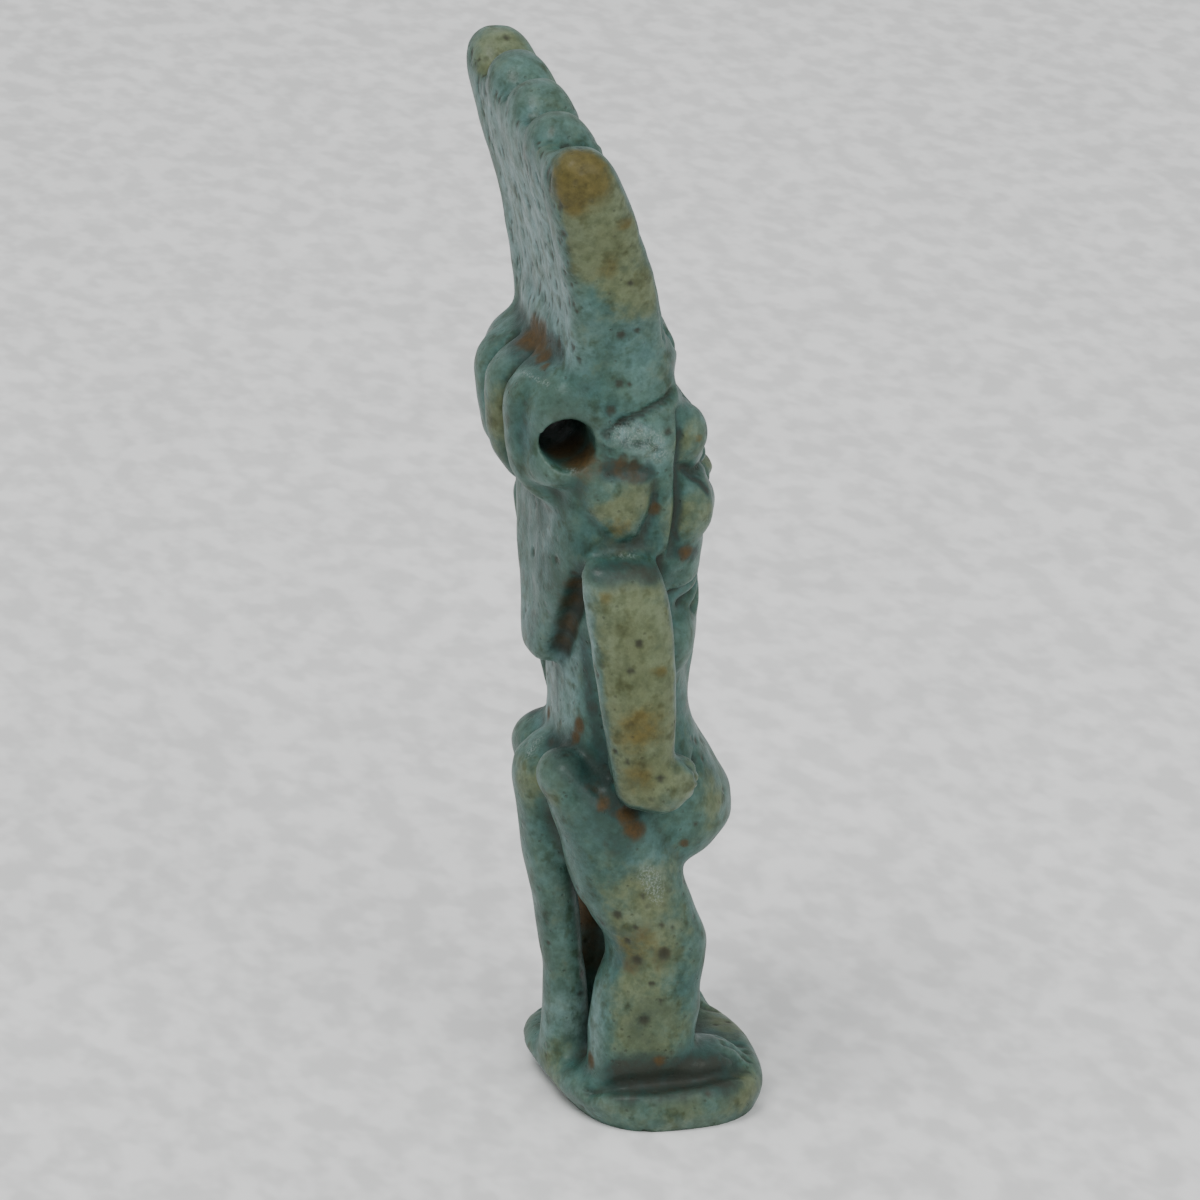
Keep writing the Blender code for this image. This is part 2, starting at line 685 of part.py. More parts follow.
def build():
    """Models the clay, fuses it, bores the loop, softens, carves and cuts the base flat."""
    for obj in list(bpy.data.objects):
        bpy.data.objects.remove(obj)
    parts = bpy.data.collections.new("bes_figurine")
    cutters = bpy.data.collections.new("cutters")
    bpy.context.scene.collection.children.link(parts)
    bpy.context.scene.collection.children.link(cutters)

    clay = bmesh.new()
    add_base(clay)
    add_legs(clay)
    add_tail(clay)
    add_body(clay)
    add_arms(clay)
    add_back_mane(clay)
    add_head(clay)
    add_face(clay)
    add_beard(clay)
    add_crown(clay)
    add_loop(clay)
    figure = mesh_object("bes_figurine", clay, parts)
    remesh(figure)
    cut(figure, hole_cutter(cutters))
    remesh(figure)
    soften(figure, SOFTENING_PASSES)
    skin = Skin(figure)
    carve_crown(skin)
    carve_head_sides(skin)
    carve_edges(skin)
    carve_face(skin)
    carve_body(skin)
    skin.finish()
    soften(figure, GLAZING_PASSES)
    cut_underside(figure)
    decimate(figure)
    press_flat(figure)
    figure.data.materials.clear()
    figure.data.materials.append(faience())
    figure.data.shade_smooth()
    return figure


build()
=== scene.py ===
"""The looks of a small faience figurine of the dwarf god Bes, worn, pitted and stained with earth.

The figure repeats the solid's forms at a finer grain and carves its finer relief. Its surface then
carries shares of dirt, wear and pitting, and of painted shade, highlights and glints, which one glaze
material reads.
"""

import math

import bmesh
import bpy
import numpy as np
from mathutils import Euler, Matrix, Vector, noise


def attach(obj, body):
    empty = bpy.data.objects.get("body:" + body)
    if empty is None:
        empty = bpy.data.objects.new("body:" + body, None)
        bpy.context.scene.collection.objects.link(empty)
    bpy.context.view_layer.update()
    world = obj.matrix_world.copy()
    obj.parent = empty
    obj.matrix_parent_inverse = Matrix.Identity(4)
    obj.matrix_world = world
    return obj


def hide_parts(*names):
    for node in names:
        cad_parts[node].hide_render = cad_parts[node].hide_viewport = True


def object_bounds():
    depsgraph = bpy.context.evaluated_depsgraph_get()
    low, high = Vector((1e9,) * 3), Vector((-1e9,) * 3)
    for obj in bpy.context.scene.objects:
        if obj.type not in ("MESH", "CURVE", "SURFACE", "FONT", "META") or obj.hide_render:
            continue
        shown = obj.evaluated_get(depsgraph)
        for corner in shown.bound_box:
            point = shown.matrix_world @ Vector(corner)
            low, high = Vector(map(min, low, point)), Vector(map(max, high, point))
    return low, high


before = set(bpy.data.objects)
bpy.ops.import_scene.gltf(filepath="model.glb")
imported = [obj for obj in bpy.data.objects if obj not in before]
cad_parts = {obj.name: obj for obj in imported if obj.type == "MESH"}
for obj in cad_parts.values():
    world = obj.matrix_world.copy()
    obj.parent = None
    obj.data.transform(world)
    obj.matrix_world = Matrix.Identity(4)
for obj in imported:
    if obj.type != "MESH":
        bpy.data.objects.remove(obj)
cad_low, cad_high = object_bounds()

MM = 0.001

# The base, the hole and the loop have sizes of their own
BASE_WIDTH = 11.4 * MM
BASE_DEPTH = 8.8 * MM
BASE_THICKNESS = 1.9 * MM
BASE_EDGE_RADIUS = 0.85 * MM
BASE_ROUNDNESS = 2.7
BASE_SKEW = 0.08
BASE_BOW = 0.03
BASE_HEEL_CUT = 0.6 * MM
UNDER_EDGE = 0.4
RIM_STEPS = 6
HOLE_DIAMETER = 2.1 * MM
LOOP_WIDTH = 7.2 * MM
LOOP_RIBS = 3

# The figure is a free form: its pose and carving are in units of a forty-first of its height
FIGURE_HEIGHT = 41.0 * MM
UNIT = FIGURE_HEIGHT / 41.0
SETBACK = 0.3

CROWN_FOOT = 29.5
CROWN_LENGTH = 11.4
FEATHERS = 5
FEATHER_PITCH_TOP = 3.4
FEATHER_PITCH_FOOT = 2.05
CROWN_TILT = 0.24
CROWN_ARCH = 0.05
WEB_TOP = 0.9
WEB_STEPS = 14
WEB_SHARE = 0.7
WEB_BACK = 0.97
PLUME_SHARE = 0.54
RIB_SHARE = 0.52

# Mesh fineness
SOFTENING_PASSES = 4
GLAZING_PASSES = 2
BELOW_UNDERSIDE = 0.4 * MM
FLAT_WITHIN = 0.04 * MM

SIDES = (-1, 1)
FRONT = (0, -1, 0)


def at(x, y, z):
    """A point of the figure, in its units. It stands a little behind the base's middle,
    and its z counts from the soles of its feet.
    """
    return Vector((x * UNIT, (y + SETBACK) * UNIT, BASE_THICKNESS + z * UNIT))


def ellipsoid(clay, centre, radii, turn=(0, 0, 0)):
    """Adds an ellipsoid to the clay. Turn is in degrees about X, Y and Z."""
    size = Matrix.Diagonal((radii[0] * UNIT, radii[1] * UNIT, radii[2] * UNIT, 1))
    turned = Euler([math.radians(angle) for angle in turn]).to_matrix().to_4x4()
    matrix = Matrix.Translation(at(*centre)) @ turned @ size
    bmesh.ops.create_uvsphere(clay, u_segments=32, v_segments=20, radius=1, matrix=matrix)


def pair(clay, centre, radii, turn=(0, 0, 0)):
    """Adds an ellipsoid on the figure's left side and its mirror image on the right."""
    for side in SIDES:
        ellipsoid(
            clay,
            (centre[0] * side, centre[1], centre[2]),
            radii,
            (turn[0], turn[1] * side, turn[2] * side),
        )


def ring(clay, centre, half_width, half_depth, roundness, sides=40):
    """A level superellipse ring in metres: roundness 2 is an ellipse, and more is boxier."""
    verts = []
    for step in range(sides):
        angle = 2 * math.pi * step / sides
        cos, sin = math.cos(angle), math.sin(angle)
        x = math.copysign(abs(cos) ** (2 / roundness), cos) * half_width
        y = math.copysign(abs(sin) ** (2 / roundness), sin) * half_depth
        verts.append(clay.verts.new(centre + Vector((x, y, 0))))
    return verts


def skin_over(clay, rings):
    """Closes a form over its rings, lowest first."""
    clay.faces.new(reversed(rings[0]))
    clay.faces.new(rings[-1])
    sides = len(rings[0])
    for lower, upper in zip(rings, rings[1:]):
        for i in range(sides):
            j = (i + 1) % sides
            clay.faces.new((lower[i], lower[j], upper[j], upper[i]))


def loft(clay, roundness, stations):
    """Adds a form through level rings, lowest first.

    A station is x, y, z, half width and half depth, in figure units.
    """
    rings = []
    for x, y, z, half_width, half_depth in stations:
        rings.append(ring(clay, at(x, y, z), half_width * UNIT, half_depth * UNIT, roundness))
    skin_over(clay, rings)


def loft_pair(clay, roundness, stations):
    """Adds a form on the figure's left side and its mirror image on the right."""
    for side in SIDES:
        loft(clay, roundness, [(x * side, y, z, width, depth) for x, y, z, width, depth in stations])


def add_base(clay):
    """A low slab with bowed sides and a rolled rim. Its underside is cut flat later."""
    centre_height = BASE_THICKNESS - BASE_EDGE_RADIUS
    rings = []
    under_inset = BASE_EDGE_RADIUS * UNDER_EDGE
    rings.append(base_ring(clay, -BELOW_UNDERSIDE, under_inset, BASE_HEEL_CUT))
    for share in (0.0, 0.25, 0.6, 1.0):
        inset = under_inset * (1 - share) ** 3
        rings.append(base_ring(clay, centre_height * share, inset, BASE_HEEL_CUT * (1 - share)))
    for step in range(1, RIM_STEPS + 1):
        angle = math.radians(90 * step / RIM_STEPS)
        level = centre_height + BASE_EDGE_RADIUS * math.sin(angle)
        rings.append(base_ring(clay, level, BASE_EDGE_RADIUS * (1 - math.cos(angle)), 0))
    skin_over(clay, rings)


def base_ring(clay, level, inset, heel_cut):
    """One level of the base, drawn in by the inset all round and by the heel cut behind.

    Its sides stand askew, and its two ends bow back a little.
    """
    centre = Vector((0, 0, level))
    verts = ring(clay, centre, BASE_WIDTH / 2 - inset, BASE_DEPTH / 2 - inset, BASE_ROUNDNESS)
    for vert in verts:
        vert.co.y += BASE_SKEW * vert.co.x + BASE_BOW * vert.co.x**2 / (BASE_WIDTH / 2)
        vert.co.y -= heel_cut * max(vert.co.y, 0) / (BASE_DEPTH / 2)
    return verts


def add_legs(clay):
    """Short thick legs, bent, with the knees forward, the hips behind and the feet flat.

    The right hip stands out behind a little more than the left.
    """
    shin_and_thigh = [
        (3.0, 0.6, -0.4, 1.9, 2.15),
        (3.0, 0.6, 0.6, 1.9, 2.15),
        (3.0, 0.56, 1.8, 1.82, 2.14),
        (3.0, 0.4, 2.8, 1.86, 2.2),
        (3.0, 0.3, 3.8, 1.9, 2.1),
        (3.02, -0.05, 4.9, 1.93, 1.97),
        (3.02, 0.0, 5.8, 1.96, 2.03),
        (3.0, 0.47, 6.8, 2.0, 2.13),
        (2.97, 0.89, 7.9, 2.05, 2.16),
        (2.92, 1.27, 9.2, 2.05, 2.18),
        (2.85, 1.7, 10.6, 1.9, 2.1),
        (2.75, 2.1, 11.8, 1.5, 1.8),
    ]
    loft_pair(clay, 2.5, shin_and_thigh)
    hips = [
        (2.9, 1.3, 7.6, 1.6, 1.8),
        (2.9, 1.5, 8.9, 2.1, 2.05),
        (2.9, 1.8, 10.2, 2.25, 2.1),
        (2.9, 2.2, 11.4, 2.25, 2.05),
        (2.85, 2.6, 12.2, 2.1, 1.85),
        (2.75, 2.8, 12.8, 1.75, 1.5),
        (2.6, 2.85, 13.3, 1.2, 0.95),
        (2.5, 2.85, 13.6, 0.6, 0.4),
    ]
    loft_pair(clay, 2.3, hips)
    ellipsoid(clay, (-2.85, 3.75, 12.95), (1.45, 1.05, 1.1), (-20, 0, 0))
    pair(clay, (3.05, -0.5, 5.3), (1.75, 1.6, 1.6))
    pair(clay, (3.0, -1.3, 0.15), (1.8, 2.35, 0.85))
    pair(clay, (2.9, -2.35, 0.1), (1.65, 1.2, 0.5))


def add_tail(clay):
    """The lion's tail, which hangs from the small of the back to the base."""
    tail = [
        (0, 3.1, -0.4, 1.4, 1.0),
        (0, 3.0, 1.2, 1.25, 0.9),
        (0, 3.05, 3.4, 1.2, 0.85),
        (0, 3.4, 6.2, 1.25, 0.88),
        (0, 3.8, 8.8, 1.35, 0.95),
        (0, 4.0, 10.8, 1.45, 1.0),
        (0, 4.05, 11.9, 1.5, 1.08),
        (0, 3.9, 12.8, 1.4, 1.05),
        (0, 3.45, 13.5, 1.1, 0.85),
        (0, 2.95, 13.9, 0.6, 0.5),
    ]
    loft(clay, 2.4, tail)


def add_body(clay):
    """A barrel chest over a sagging pot belly."""
    trunk = [
        (0, 0.9, 7.9, 2.6, 1.7),
        (0, 0.6, 8.5, 3.4, 2.4),
        (0, 0.2, 9.3, 4.0, 3.1),
        (0, -0.1, 10.3, 4.35, 3.55),
        (0, -0.1, 11.3, 4.5, 3.55),
        (0, 0.2, 12.5, 4.45, 3.25),
        (0, 0.6, 13.7, 4.35, 2.95),
        (0, 0.82, 15.0, 4.25, 2.65),
        (0, 0.9, 16.6, 4.3, 2.55),
        (0, 0.95, 18.4, 4.4, 2.55),
        (0, 1.1, 20.2, 4.6, 2.6),
        (0, 1.25, 21.8, 4.8, 2.6),
        (0, 1.5, 23.2, 4.4, 2.4),
    ]
    loft(clay, 2.3, trunk)
    pair(clay, (2.4, -0.75, 18.4), (2.1, 0.95, 1.6), (8, 0, 10))


def add_arms(clay):
    """Arms held straight down at the sides, with the fists on the front of the hips."""
    arm = [
        (4.8, 2.1, 23.0, 0.8, 1.35),
        (5.1, 2.1, 22.7, 1.15, 1.6),
        (5.35, 2.05, 22.0, 1.4, 1.7),
        (5.47, 1.9, 21.1, 1.42, 1.72),
        (5.55, 1.72, 19.8, 1.35, 1.72),
        (5.62, 1.55, 18.0, 1.28, 1.66),
        (5.62, 1.42, 16.4, 1.22, 1.55),
        (5.55, 1.32, 15.0, 1.2, 1.42),
        (5.45, 1.2, 13.8, 1.2, 1.35),
        (5.35, 1.05, 12.9, 1.1, 1.25),
        (5.2, 0.95, 12.3, 0.7, 0.8),
    ]
    loft_pair(clay, 3.0, list(reversed(arm)))
    pair(clay, (5.45, 0.45, 13.15), (1.4, 1.3, 1.15))
    pair(clay, (5.5, 0.0, 13.5), (1.25, 1.15, 1.0))


def add_back_mane(clay):
    """The mane falls over the shoulders and narrows to a blunt tongue on the back."""
    mane = [
        (0, 3.6, 17.2, 1.2, 0.8),
        (0, 3.55, 17.5, 1.6, 1.05),
        (0, 3.5, 18.2, 1.95, 1.05),
        (0, 3.4, 19.4, 2.6, 1.08),
        (0, 3.2, 20.8, 3.5, 1.25),
        (0, 3.0, 22.0, 4.4, 1.4),
        (0, 2.9, 23.2, 4.85, 1.42),
        (0, 2.9, 24.6, 5.05, 1.4),
        (0, 2.9, 26.5, 5.2, 1.5),
    ]
    loft(clay, 3.2, mane)


def add_head(clay):
    """The flat-sided head behind the face, and the block of hair behind it that the loop joins."""
    head = [
        (0, 1.5, 20.6, 4.0, 1.7),
        (0, 1.4, 21.8, 4.9, 2.2),
        (0, 1.4, 23.2, 5.25, 2.25),
        (0, 1.4, 26.0, 5.4, 2.3),
        (0, 1.7, 28.4, 5.55, 2.6),
        (0, 2.0, 29.6, 5.5, 2.5),
    ]
    loft(clay, 6.0, head)
    occiput = [
        (0, 3.0, 25.6, 4.5, 1.9),
        (0, 3.15, 25.9, 5.15, 2.25),
        (0, 3.2, 26.4, 5.4, 2.35),
        (0, 3.15, 29.0, 5.4, 2.35),
        (0, 3.0, 29.8, 5.2, 2.2),
        (0, 2.7, 30.4, 4.9, 1.8),
    ]
    loft(clay, 4.2, occiput)


def add_face(clay):
    """A broad mask: heavy brows, round eyes, flat nose, full cheeks and the tongue out."""
    mask = [
        (0, 0.2, 19.8, 3.4, 1.7),
        (0, 0.1, 21.0, 4.2, 2.0),
        (0, 0.05, 22.6, 4.65, 2.2),
        (0, 0.05, 24.4, 4.75, 2.3),
        (0, 0.05, 26.0, 4.75, 2.2),
        (0, 0.1, 27.3, 4.6, 2.1),
        (0, 0.4, 28.4, 4.1, 1.7),
    ]
    loft(clay, 3.0, mask)
    pair(clay, (4.0, -0.85, 27.45), (1.05, 0.95, 1.2))
    pair(clay, (3.95, -0.95, 24.4), (1.15, 1.1, 1.6))
    pair(clay, (2.6, -1.25, 27.2), (1.75, 0.85, 0.62), (0, -8, 14))
    pair(clay, (1.0, -1.7, 26.95), (0.8, 0.6, 0.5), (0, 25, 0))
    pair(clay, (2.15, -1.6, 26.0), (1.05, 0.62, 0.68))
    ellipsoid(clay, (0, -1.95, 25.6), (0.72, 0.65, 1.5), (8, 0, 0))
    ellipsoid(clay, (0, -2.4, 24.45), (0.95, 0.7, 0.6))
    pair(clay, (0.95, -2.2, 24.3), (0.62, 0.6, 0.48))
    pair(clay, (3.1, -1.15, 24.35), (1.5, 1.15, 1.2))
    pair(clay, (1.5, -1.75, 23.45), (1.45, 0.72, 0.55), (0, 16, 8))
    ellipsoid(clay, (0, -1.6, 21.3), (1.8, 0.7, 0.6))
    ellipsoid(clay, (0, -1.95, 21.95), (0.8, 0.6, 1.15), (-8, 0, 0))


def add_beard(clay):
    """A ruff of locks round the jaw, and a long beard on the chest down to the belly."""
    ruff = [
        (0, -0.4, 19.3, 2.0, 1.1),
        (0, -0.45, 20.0, 3.3, 1.4),
        (0, -0.5, 21.2, 4.3, 1.6),
        (0, -0.4, 22.6, 4.75, 1.5),
        (0, -0.2, 24.0, 4.85, 1.1),
    ]
    loft(clay, 2.5, ruff)
    beard = [
        (0, -1.1, 14.2, 0.8, 0.5),
        (0, -1.15, 14.7, 1.5, 0.75),
        (0, -1.1, 16.2, 2.0, 0.95),
        (0, -1.05, 18.0, 2.6, 1.15),
        (0, -0.95, 19.6, 3.1, 1.35),
        (0, -0.8, 21.0, 3.4, 1.4),
    ]
    loft(clay, 2.5, beard)


def add_crown(clay):
    """Five tall plumes on a low band. They fan out, lean back and end in round tips."""
    band = [
        (0, 2.0, 28.3, 5.2, 2.0),
        (0, 1.85, 28.9, 5.5, 2.45),
        (0, 1.75, 29.6, 5.6, 2.5),
        (0, 1.65, 30.2, 5.65, 2.55),
        (0, 1.6, 30.7, 5.65, 2.6),
        (0, 1.7, 31.1, 5.6, 2.5),
        (0, 1.9, 31.8, 5.55, 2.3),
    ]
    loft(clay, 3.0, band)
    middle = (FEATHERS - 1) / 2
    for feather in range(FEATHERS):
        place = feather - middle
        outer = abs(place) == middle
        loft(clay, 3.4 if outer else 2.6, feather_stations(place))
    web = []
    for step in range(WEB_STEPS + 1):
        share = WEB_TOP * step / WEB_STEPS
        y, half_depth, _ = feather_profile(share)
        width = feather_pitch(share) * (middle + 0.2)
        # the web is the back of the crown, and thins out towards its top
        half = half_depth * WEB_SHARE * (1 - (share / WEB_TOP) ** 6 * 0.5)
        back = y + half_depth * WEB_BACK
        web.append((0, back - half, CROWN_FOOT + share * CROWN_LENGTH, width, half))
    loft(clay, 6.0, web)


def feather_pitch(share):
    """The distance between plumes at a share of their length."""
    return FEATHER_PITCH_FOOT + (FEATHER_PITCH_TOP - FEATHER_PITCH_FOOT) * share**1.3


def feather_profile(share):
    """A plume's middle depth, half depth and fullness at a share of its length."""
    shares = (0.0, 0.15, 0.3, 0.45, 0.6, 0.76, 0.87, 0.93, 0.97, 1.0)
    middles = (1.75, 1.95, 2.2, 2.5, 2.95, 3.48, 3.84, 3.97, 4.0, 3.98)
    halves = (2.25, 2.0, 1.85, 1.78, 1.72, 1.6, 1.45, 1.22, 0.95, 0.45)
    fullness = (1.0, 1.0, 1.0, 1.0, 1.0, 1.0, 0.95, 0.8, 0.58, 0.28)
    return [float(np.interp(share, shares, values)) for values in (middles, halves, fullness)]


def feather_stations(place):
    """The rings of one plume. Place counts plumes from the middle one."""
    tip = CROWN_LENGTH + CROWN_TILT * place - CROWN_ARCH * place * place
    stations = []
    for share in (0.0, 0.15, 0.3, 0.45, 0.6, 0.76, 0.82, 0.87, 0.9, 0.93, 0.955, 0.975, 0.99, 1.0):
        y, half_depth, fullness = feather_profile(share)
        pitch = feather_pitch(share)
        half_width = pitch * PLUME_SHARE * fullness
        stations.append((place * pitch, y, CROWN_FOOT + tip * share, half_width, half_depth))
    return stations


# The loop's height above the soles, and how far back its middle rib stands there
LOOP_PROFILE = (
    (24.5, 4.6),
    (24.9, 5.25),
    (25.8, 5.9),
    (27.0, 6.15),
    (28.4, 6.25),
    (29.2, 6.1),
    (29.75, 5.65),
    (30.15, 5.0),
    (30.5, 4.2),
)
HOLE_CENTRE = (0, 4.02, 27.66)
LOOP_BOW = 0.2
LOOP_FRONT = 1.5


def add_loop(clay):
    """The suspension loop behind the head: upright rounded ribs, the middle one fullest."""
    pitch = LOOP_WIDTH / LOOP_RIBS / UNIT
    middle = (LOOP_RIBS - 1) / 2
    for rib in range(LOOP_RIBS):
        place = rib - middle
        stations = []
        for z, back in LOOP_PROFILE:
            half_depth = (back - LOOP_BOW * abs(place) - LOOP_FRONT) / 2
            half_width = pitch * RIB_SHARE
            stations.append((place * pitch, LOOP_FRONT + half_depth, z, half_width, half_depth))
        loft(clay, 3.0, stations)


def hole_cutter(collection):
    """A rod through the loop, from one side of the head to the other."""
    cutter = bmesh.new()
    centre = at(*HOLE_CENTRE)
    matrix = Matrix.Translation(centre) @ Euler((0, math.radians(90), 0)).to_matrix().to_4x4()
    radius = HOLE_DIAMETER / 2
    bmesh.ops.create_cone(
        cutter,
        cap_ends=True,
        segments=32,
        radius1=radius,
        radius2=radius,
        depth=FIGURE_HEIGHT,
        matrix=matrix,
    )
    obj = mesh_object("hole_cutter", cutter, collection)
    obj.hide_render = True
    obj.display_type = "WIRE"
    return obj


def mirrored(path, side):
    """A path on the figure's left, or its mirror image on the right."""
    return [(x * side, y, z) for x, y, z in path]


class Skin:
    """The figure's surface as arrays, for carving."""

    def __init__(self, obj):
        self.mesh = obj.data
        count = len(self.mesh.vertices)
        points = np.empty(count * 3, np.float32)
        normals = np.empty(count * 3, np.float32)
        self.mesh.vertices.foreach_get("co", points)
        self.mesh.vertex_normals.foreach_get("vector", normals)
        self.points = points.reshape(-1, 3).astype(float)
        self.normals = normals.reshape(-1, 3).astype(float)

    def groove(self, path, width, depth, facing, reach=1.6):
        """Presses a line into the surface that looks the facing's way, in figure units."""
        facing = np.array(facing, float)
        route = [np.array(at(*point)) for point in path]
        gap = np.full(len(self.points), np.inf)
        for start, end in zip(route, route[1:]):
            along = end - start
            flat_along = along - facing * (along @ facing)
            offset = self.points - start
            offset_flat = offset - np.outer(offset @ facing, facing)
            share = np.clip(offset_flat @ flat_along / (flat_along @ flat_along), 0, 1)
            distance = np.linalg.norm(offset_flat - np.outer(share, flat_along), axis=1)
            height = np.abs(offset @ facing - share * (along @ facing))
            gap = np.minimum(gap, np.where(height < reach * UNIT, distance, np.inf))
        turned = np.clip((self.normals @ facing - 0.1) / 0.4, 0, 1)
        self.press(depth * np.exp(-((gap / (width * UNIT)) ** 2)) * turned)

    def patch(self, side, corners, height, edge):
        """Raises a flat patch on a side of the figure. Its corners are y and z, and go round
        a convex outline clockwise as seen from the figure's right.
        """
        gap = np.full(len(self.points), -np.inf)
        for start, end in zip(corners, corners[1:] + corners[:1]):
            start = np.array(at(0, *start))[1:]
            along = np.array(at(0, *end))[1:] - start
            outward = np.array((along[1], -along[0])) / np.linalg.norm(along)
            gap = np.maximum(gap, (self.points[:, 1:] - start) @ outward)
        inside = np.clip(0.5 - gap / (edge * UNIT), 0, 1)
        turned = np.clip((self.normals[:, 0] * side - 0.3) / 0.4, 0, 1)
        self.press(-height * inside * inside * (3 - 2 * inside) * turned)

    def dimple(self, centre, radius, depth):
        """Presses a round hollow, or with a negative depth raises a boss."""
        distance = np.linalg.norm(self.points - np.array(at(*centre)), axis=1)
        self.press(depth * np.exp(-((distance / (radius * UNIT)) ** 2)))

    def press(self, depths):
        """Moves the surface inwards by depths in figure units."""
        self.points -= self.normals * (depths * UNIT)[:, None]

    def finish(self):
        """Puts the carved points back into the mesh."""
        self.mesh.vertices.foreach_set("co", self.points.astype(np.float32).ravel())
        self.mesh.update()


def carve_crown(skin):
    """Lines between the plumes, a quill down each, and the seam under the band."""
    for side in SIDES:
        seam = [(5.7 * side, 2.5, 28.3), (5.7 * side, 1.4, 28.8), (5.3 * side, -0.2, 29.5)]
        skin.groove(seam, 0.17, 0.35, (side, 0, 0))
    for place in range(FEATHERS):
        x = place - (FEATHERS - 1) / 2
        skin.groove([(x * 2.55, 0.4, 31.8), (x * 3.2, 2.4, 39.4)], 0.16, 0.16, FRONT)
    for place in range(FEATHERS - 1):
        x = place - (FEATHERS - 2) / 2
        skin.groove([(x * 2.35, 0.4, 30.6), (x * 3.3, 2.8, 40.6)], 0.22, 0.3, FRONT, reach=2.5)


def carve_head_sides(skin):
    """The grooves of the loop, a low rough ear on each side of the head, and a curl under it."""
    for gap in range(LOOP_RIBS - 1):
        x = (gap - (LOOP_RIBS - 2) / 2) * LOOP_WIDTH / LOOP_RIBS / UNIT
        rib_edge = [(x, 5.6, 25.4), (x, 6.1, 27.0), (x, 6.0, 29.2), (x, 5.2, 30.2)]
        skin.groove(rib_edge, 0.18, 0.3, (0, 1, 0))
    ear = [(2.4, 28.35), (0.8, 28.2), (0.8, 26.9), (2.4, 27.05)]
    curl = [(3.5, 26.4), (0.8, 26.15), (1.3, 23.7), (2.1, 23.7), (3.2, 24.9)]
    for side in SIDES:
        skin.patch(side, ear, 0.12, 0.7)
        skin.patch(side, curl, 0.36, 0.7)
        mask_edge = [(5.2 * side, -0.45, 28.6), (5.2 * side, -0.45, 25.6), (5.2 * side, -0.4, 22.6)]
        skin.groove(mask_edge, 0.25, 0.3, (0.8 * side, -0.6, 0))


def carve_edges(skin):
    """The hollows that part the arms from the body and the mane from the back."""
    for side in SIDES:
        arm_front = [(5.2, 0.3, 22.4), (5.2, -0.2, 20.0), (5.2, -0.2, 17.0), (5.2, 0.0, 15.0)]
        skin.groove(mirrored(arm_front, side), 0.32, 0.45, (0.6 * side, -0.8, 0), reach=2.2)
        arm_back = [(5.2, 3.7, 22.0), (5.2, 3.4, 19.0), (5.2, 2.8, 16.0), (5.1, 2.3, 13.6)]
        skin.groove(mirrored(arm_back, side), 0.3, 0.35, (0.6 * side, 0.8, 0), reach=2.2)
        mane_edge = [(4.9, 2.9, 22.6), (3.9, 3.6, 21.1), (2.9, 4.0, 19.5), (1.9, 4.0, 17.8)]
        skin.groove(mirrored(mane_edge, side), 0.26, 0.35, (0.3 * side, 0.95, 0), reach=2.0)


def arc(x, z, half_width, half_height, first, last, y):
    """Points along an arc in front of the face, between two angles in degrees."""
    steps = 8
    points = []
    for step in range(steps + 1):
        angle = math.radians(first + (last - first) * step / steps)
        points.append((x + half_width * math.cos(angle), y, z + half_height * math.sin(angle)))
    return points


def carve_face(skin):
    """Lids, nostrils, mouth and the locks of the ruff."""
    for side in SIDES:
        upper_lid = arc(2.15, 25.9, 1.1, 0.72, 5, 175, -2.1)
        lower_lid = arc(2.15, 26.05, 1.0, 0.6, 190, 350, -2.1)
        skin.groove(mirrored(upper_lid, side), 0.15, 0.26, FRONT)
        skin.groove(mirrored(lower_lid, side), 0.14, 0.2, FRONT)
        skin.dimple((0.62 * side, -2.85, 24.1), 0.24, 0.25)
        moustache = [(0.6, -2.5, 23.0), (2.0, -2.3, 22.75), (3.1, -1.8, 23.1)]
        skin.groove(mirrored(moustache, side), 0.2, 0.32, FRONT)
        cheek = [(1.35, -2.4, 24.7), (2.0, -2.3, 24.05), (3.2, -2.0, 23.45)]
        skin.groove(mirrored(cheek, side), 0.18, 0.28, FRONT)
    locks = 12
    for lock in range(locks):
        angle = math.radians(213 + 114 * lock / (locks - 1))
        inner, outer = 2.7, 4.9
        start = (inner * math.cos(angle), -2.0, 23.2 + inner * math.sin(angle))
        end = (outer * math.cos(angle), -1.4, 23.2 + outer * math.sin(angle) * 0.9)
        skin.groove([start, end], 0.17, 0.28, FRONT, reach=2.5)


def carve_body(skin):
    """Strands of the beard, the navel, the fingers and the toes."""
    strands = 5
    for strand in range(strands):
        x = (strand - (strands - 1) / 2) * 0.9
        path = [(x * 1.05, -2.0, 19.0), (x * 0.85, -2.0, 16.6), (x * 0.45, -1.8, 14.6)]
        skin.groove(path, 0.16, 0.22, FRONT)
    skin.dimple((0, -3.7, 11.6), 0.35, 0.4)
    for side in SIDES:
        for finger in range(3):
            z = 13.75 - 0.52 * finger
            crease = [(4.1, -1.3, z), (5.4, -1.2, z), (6.2, -0.2, z - 0.1)]
            skin.groove(mirrored(crease, side), 0.12, 0.12, FRONT)
        for toe in range(4):
            x = 2.9 + (toe - 1.5) * 0.72
            skin.groove([(x * side, -4.2, 0.3), (x * side, -2.9, 0.9)], 0.13, 0.13, (0, -0.6, 0.8))


def mesh_object(name, shape, collection):
    """An object made of a bmesh, which is freed."""
    mesh = bpy.data.meshes.new(name)
    shape.to_mesh(mesh)
    shape.free()
    obj = bpy.data.objects.new(name, mesh)
    collection.objects.link(obj)
    return obj


def settle(obj):
    """Puts what the modifiers make into the object's own mesh."""
    graph = bpy.context.evaluated_depsgraph_get()
    made = bpy.data.meshes.new_from_object(obj.evaluated_get(graph))
    obj.modifiers.clear()
    old, obj.data = obj.data, made
    made.name = obj.name
    bpy.data.meshes.remove(old)


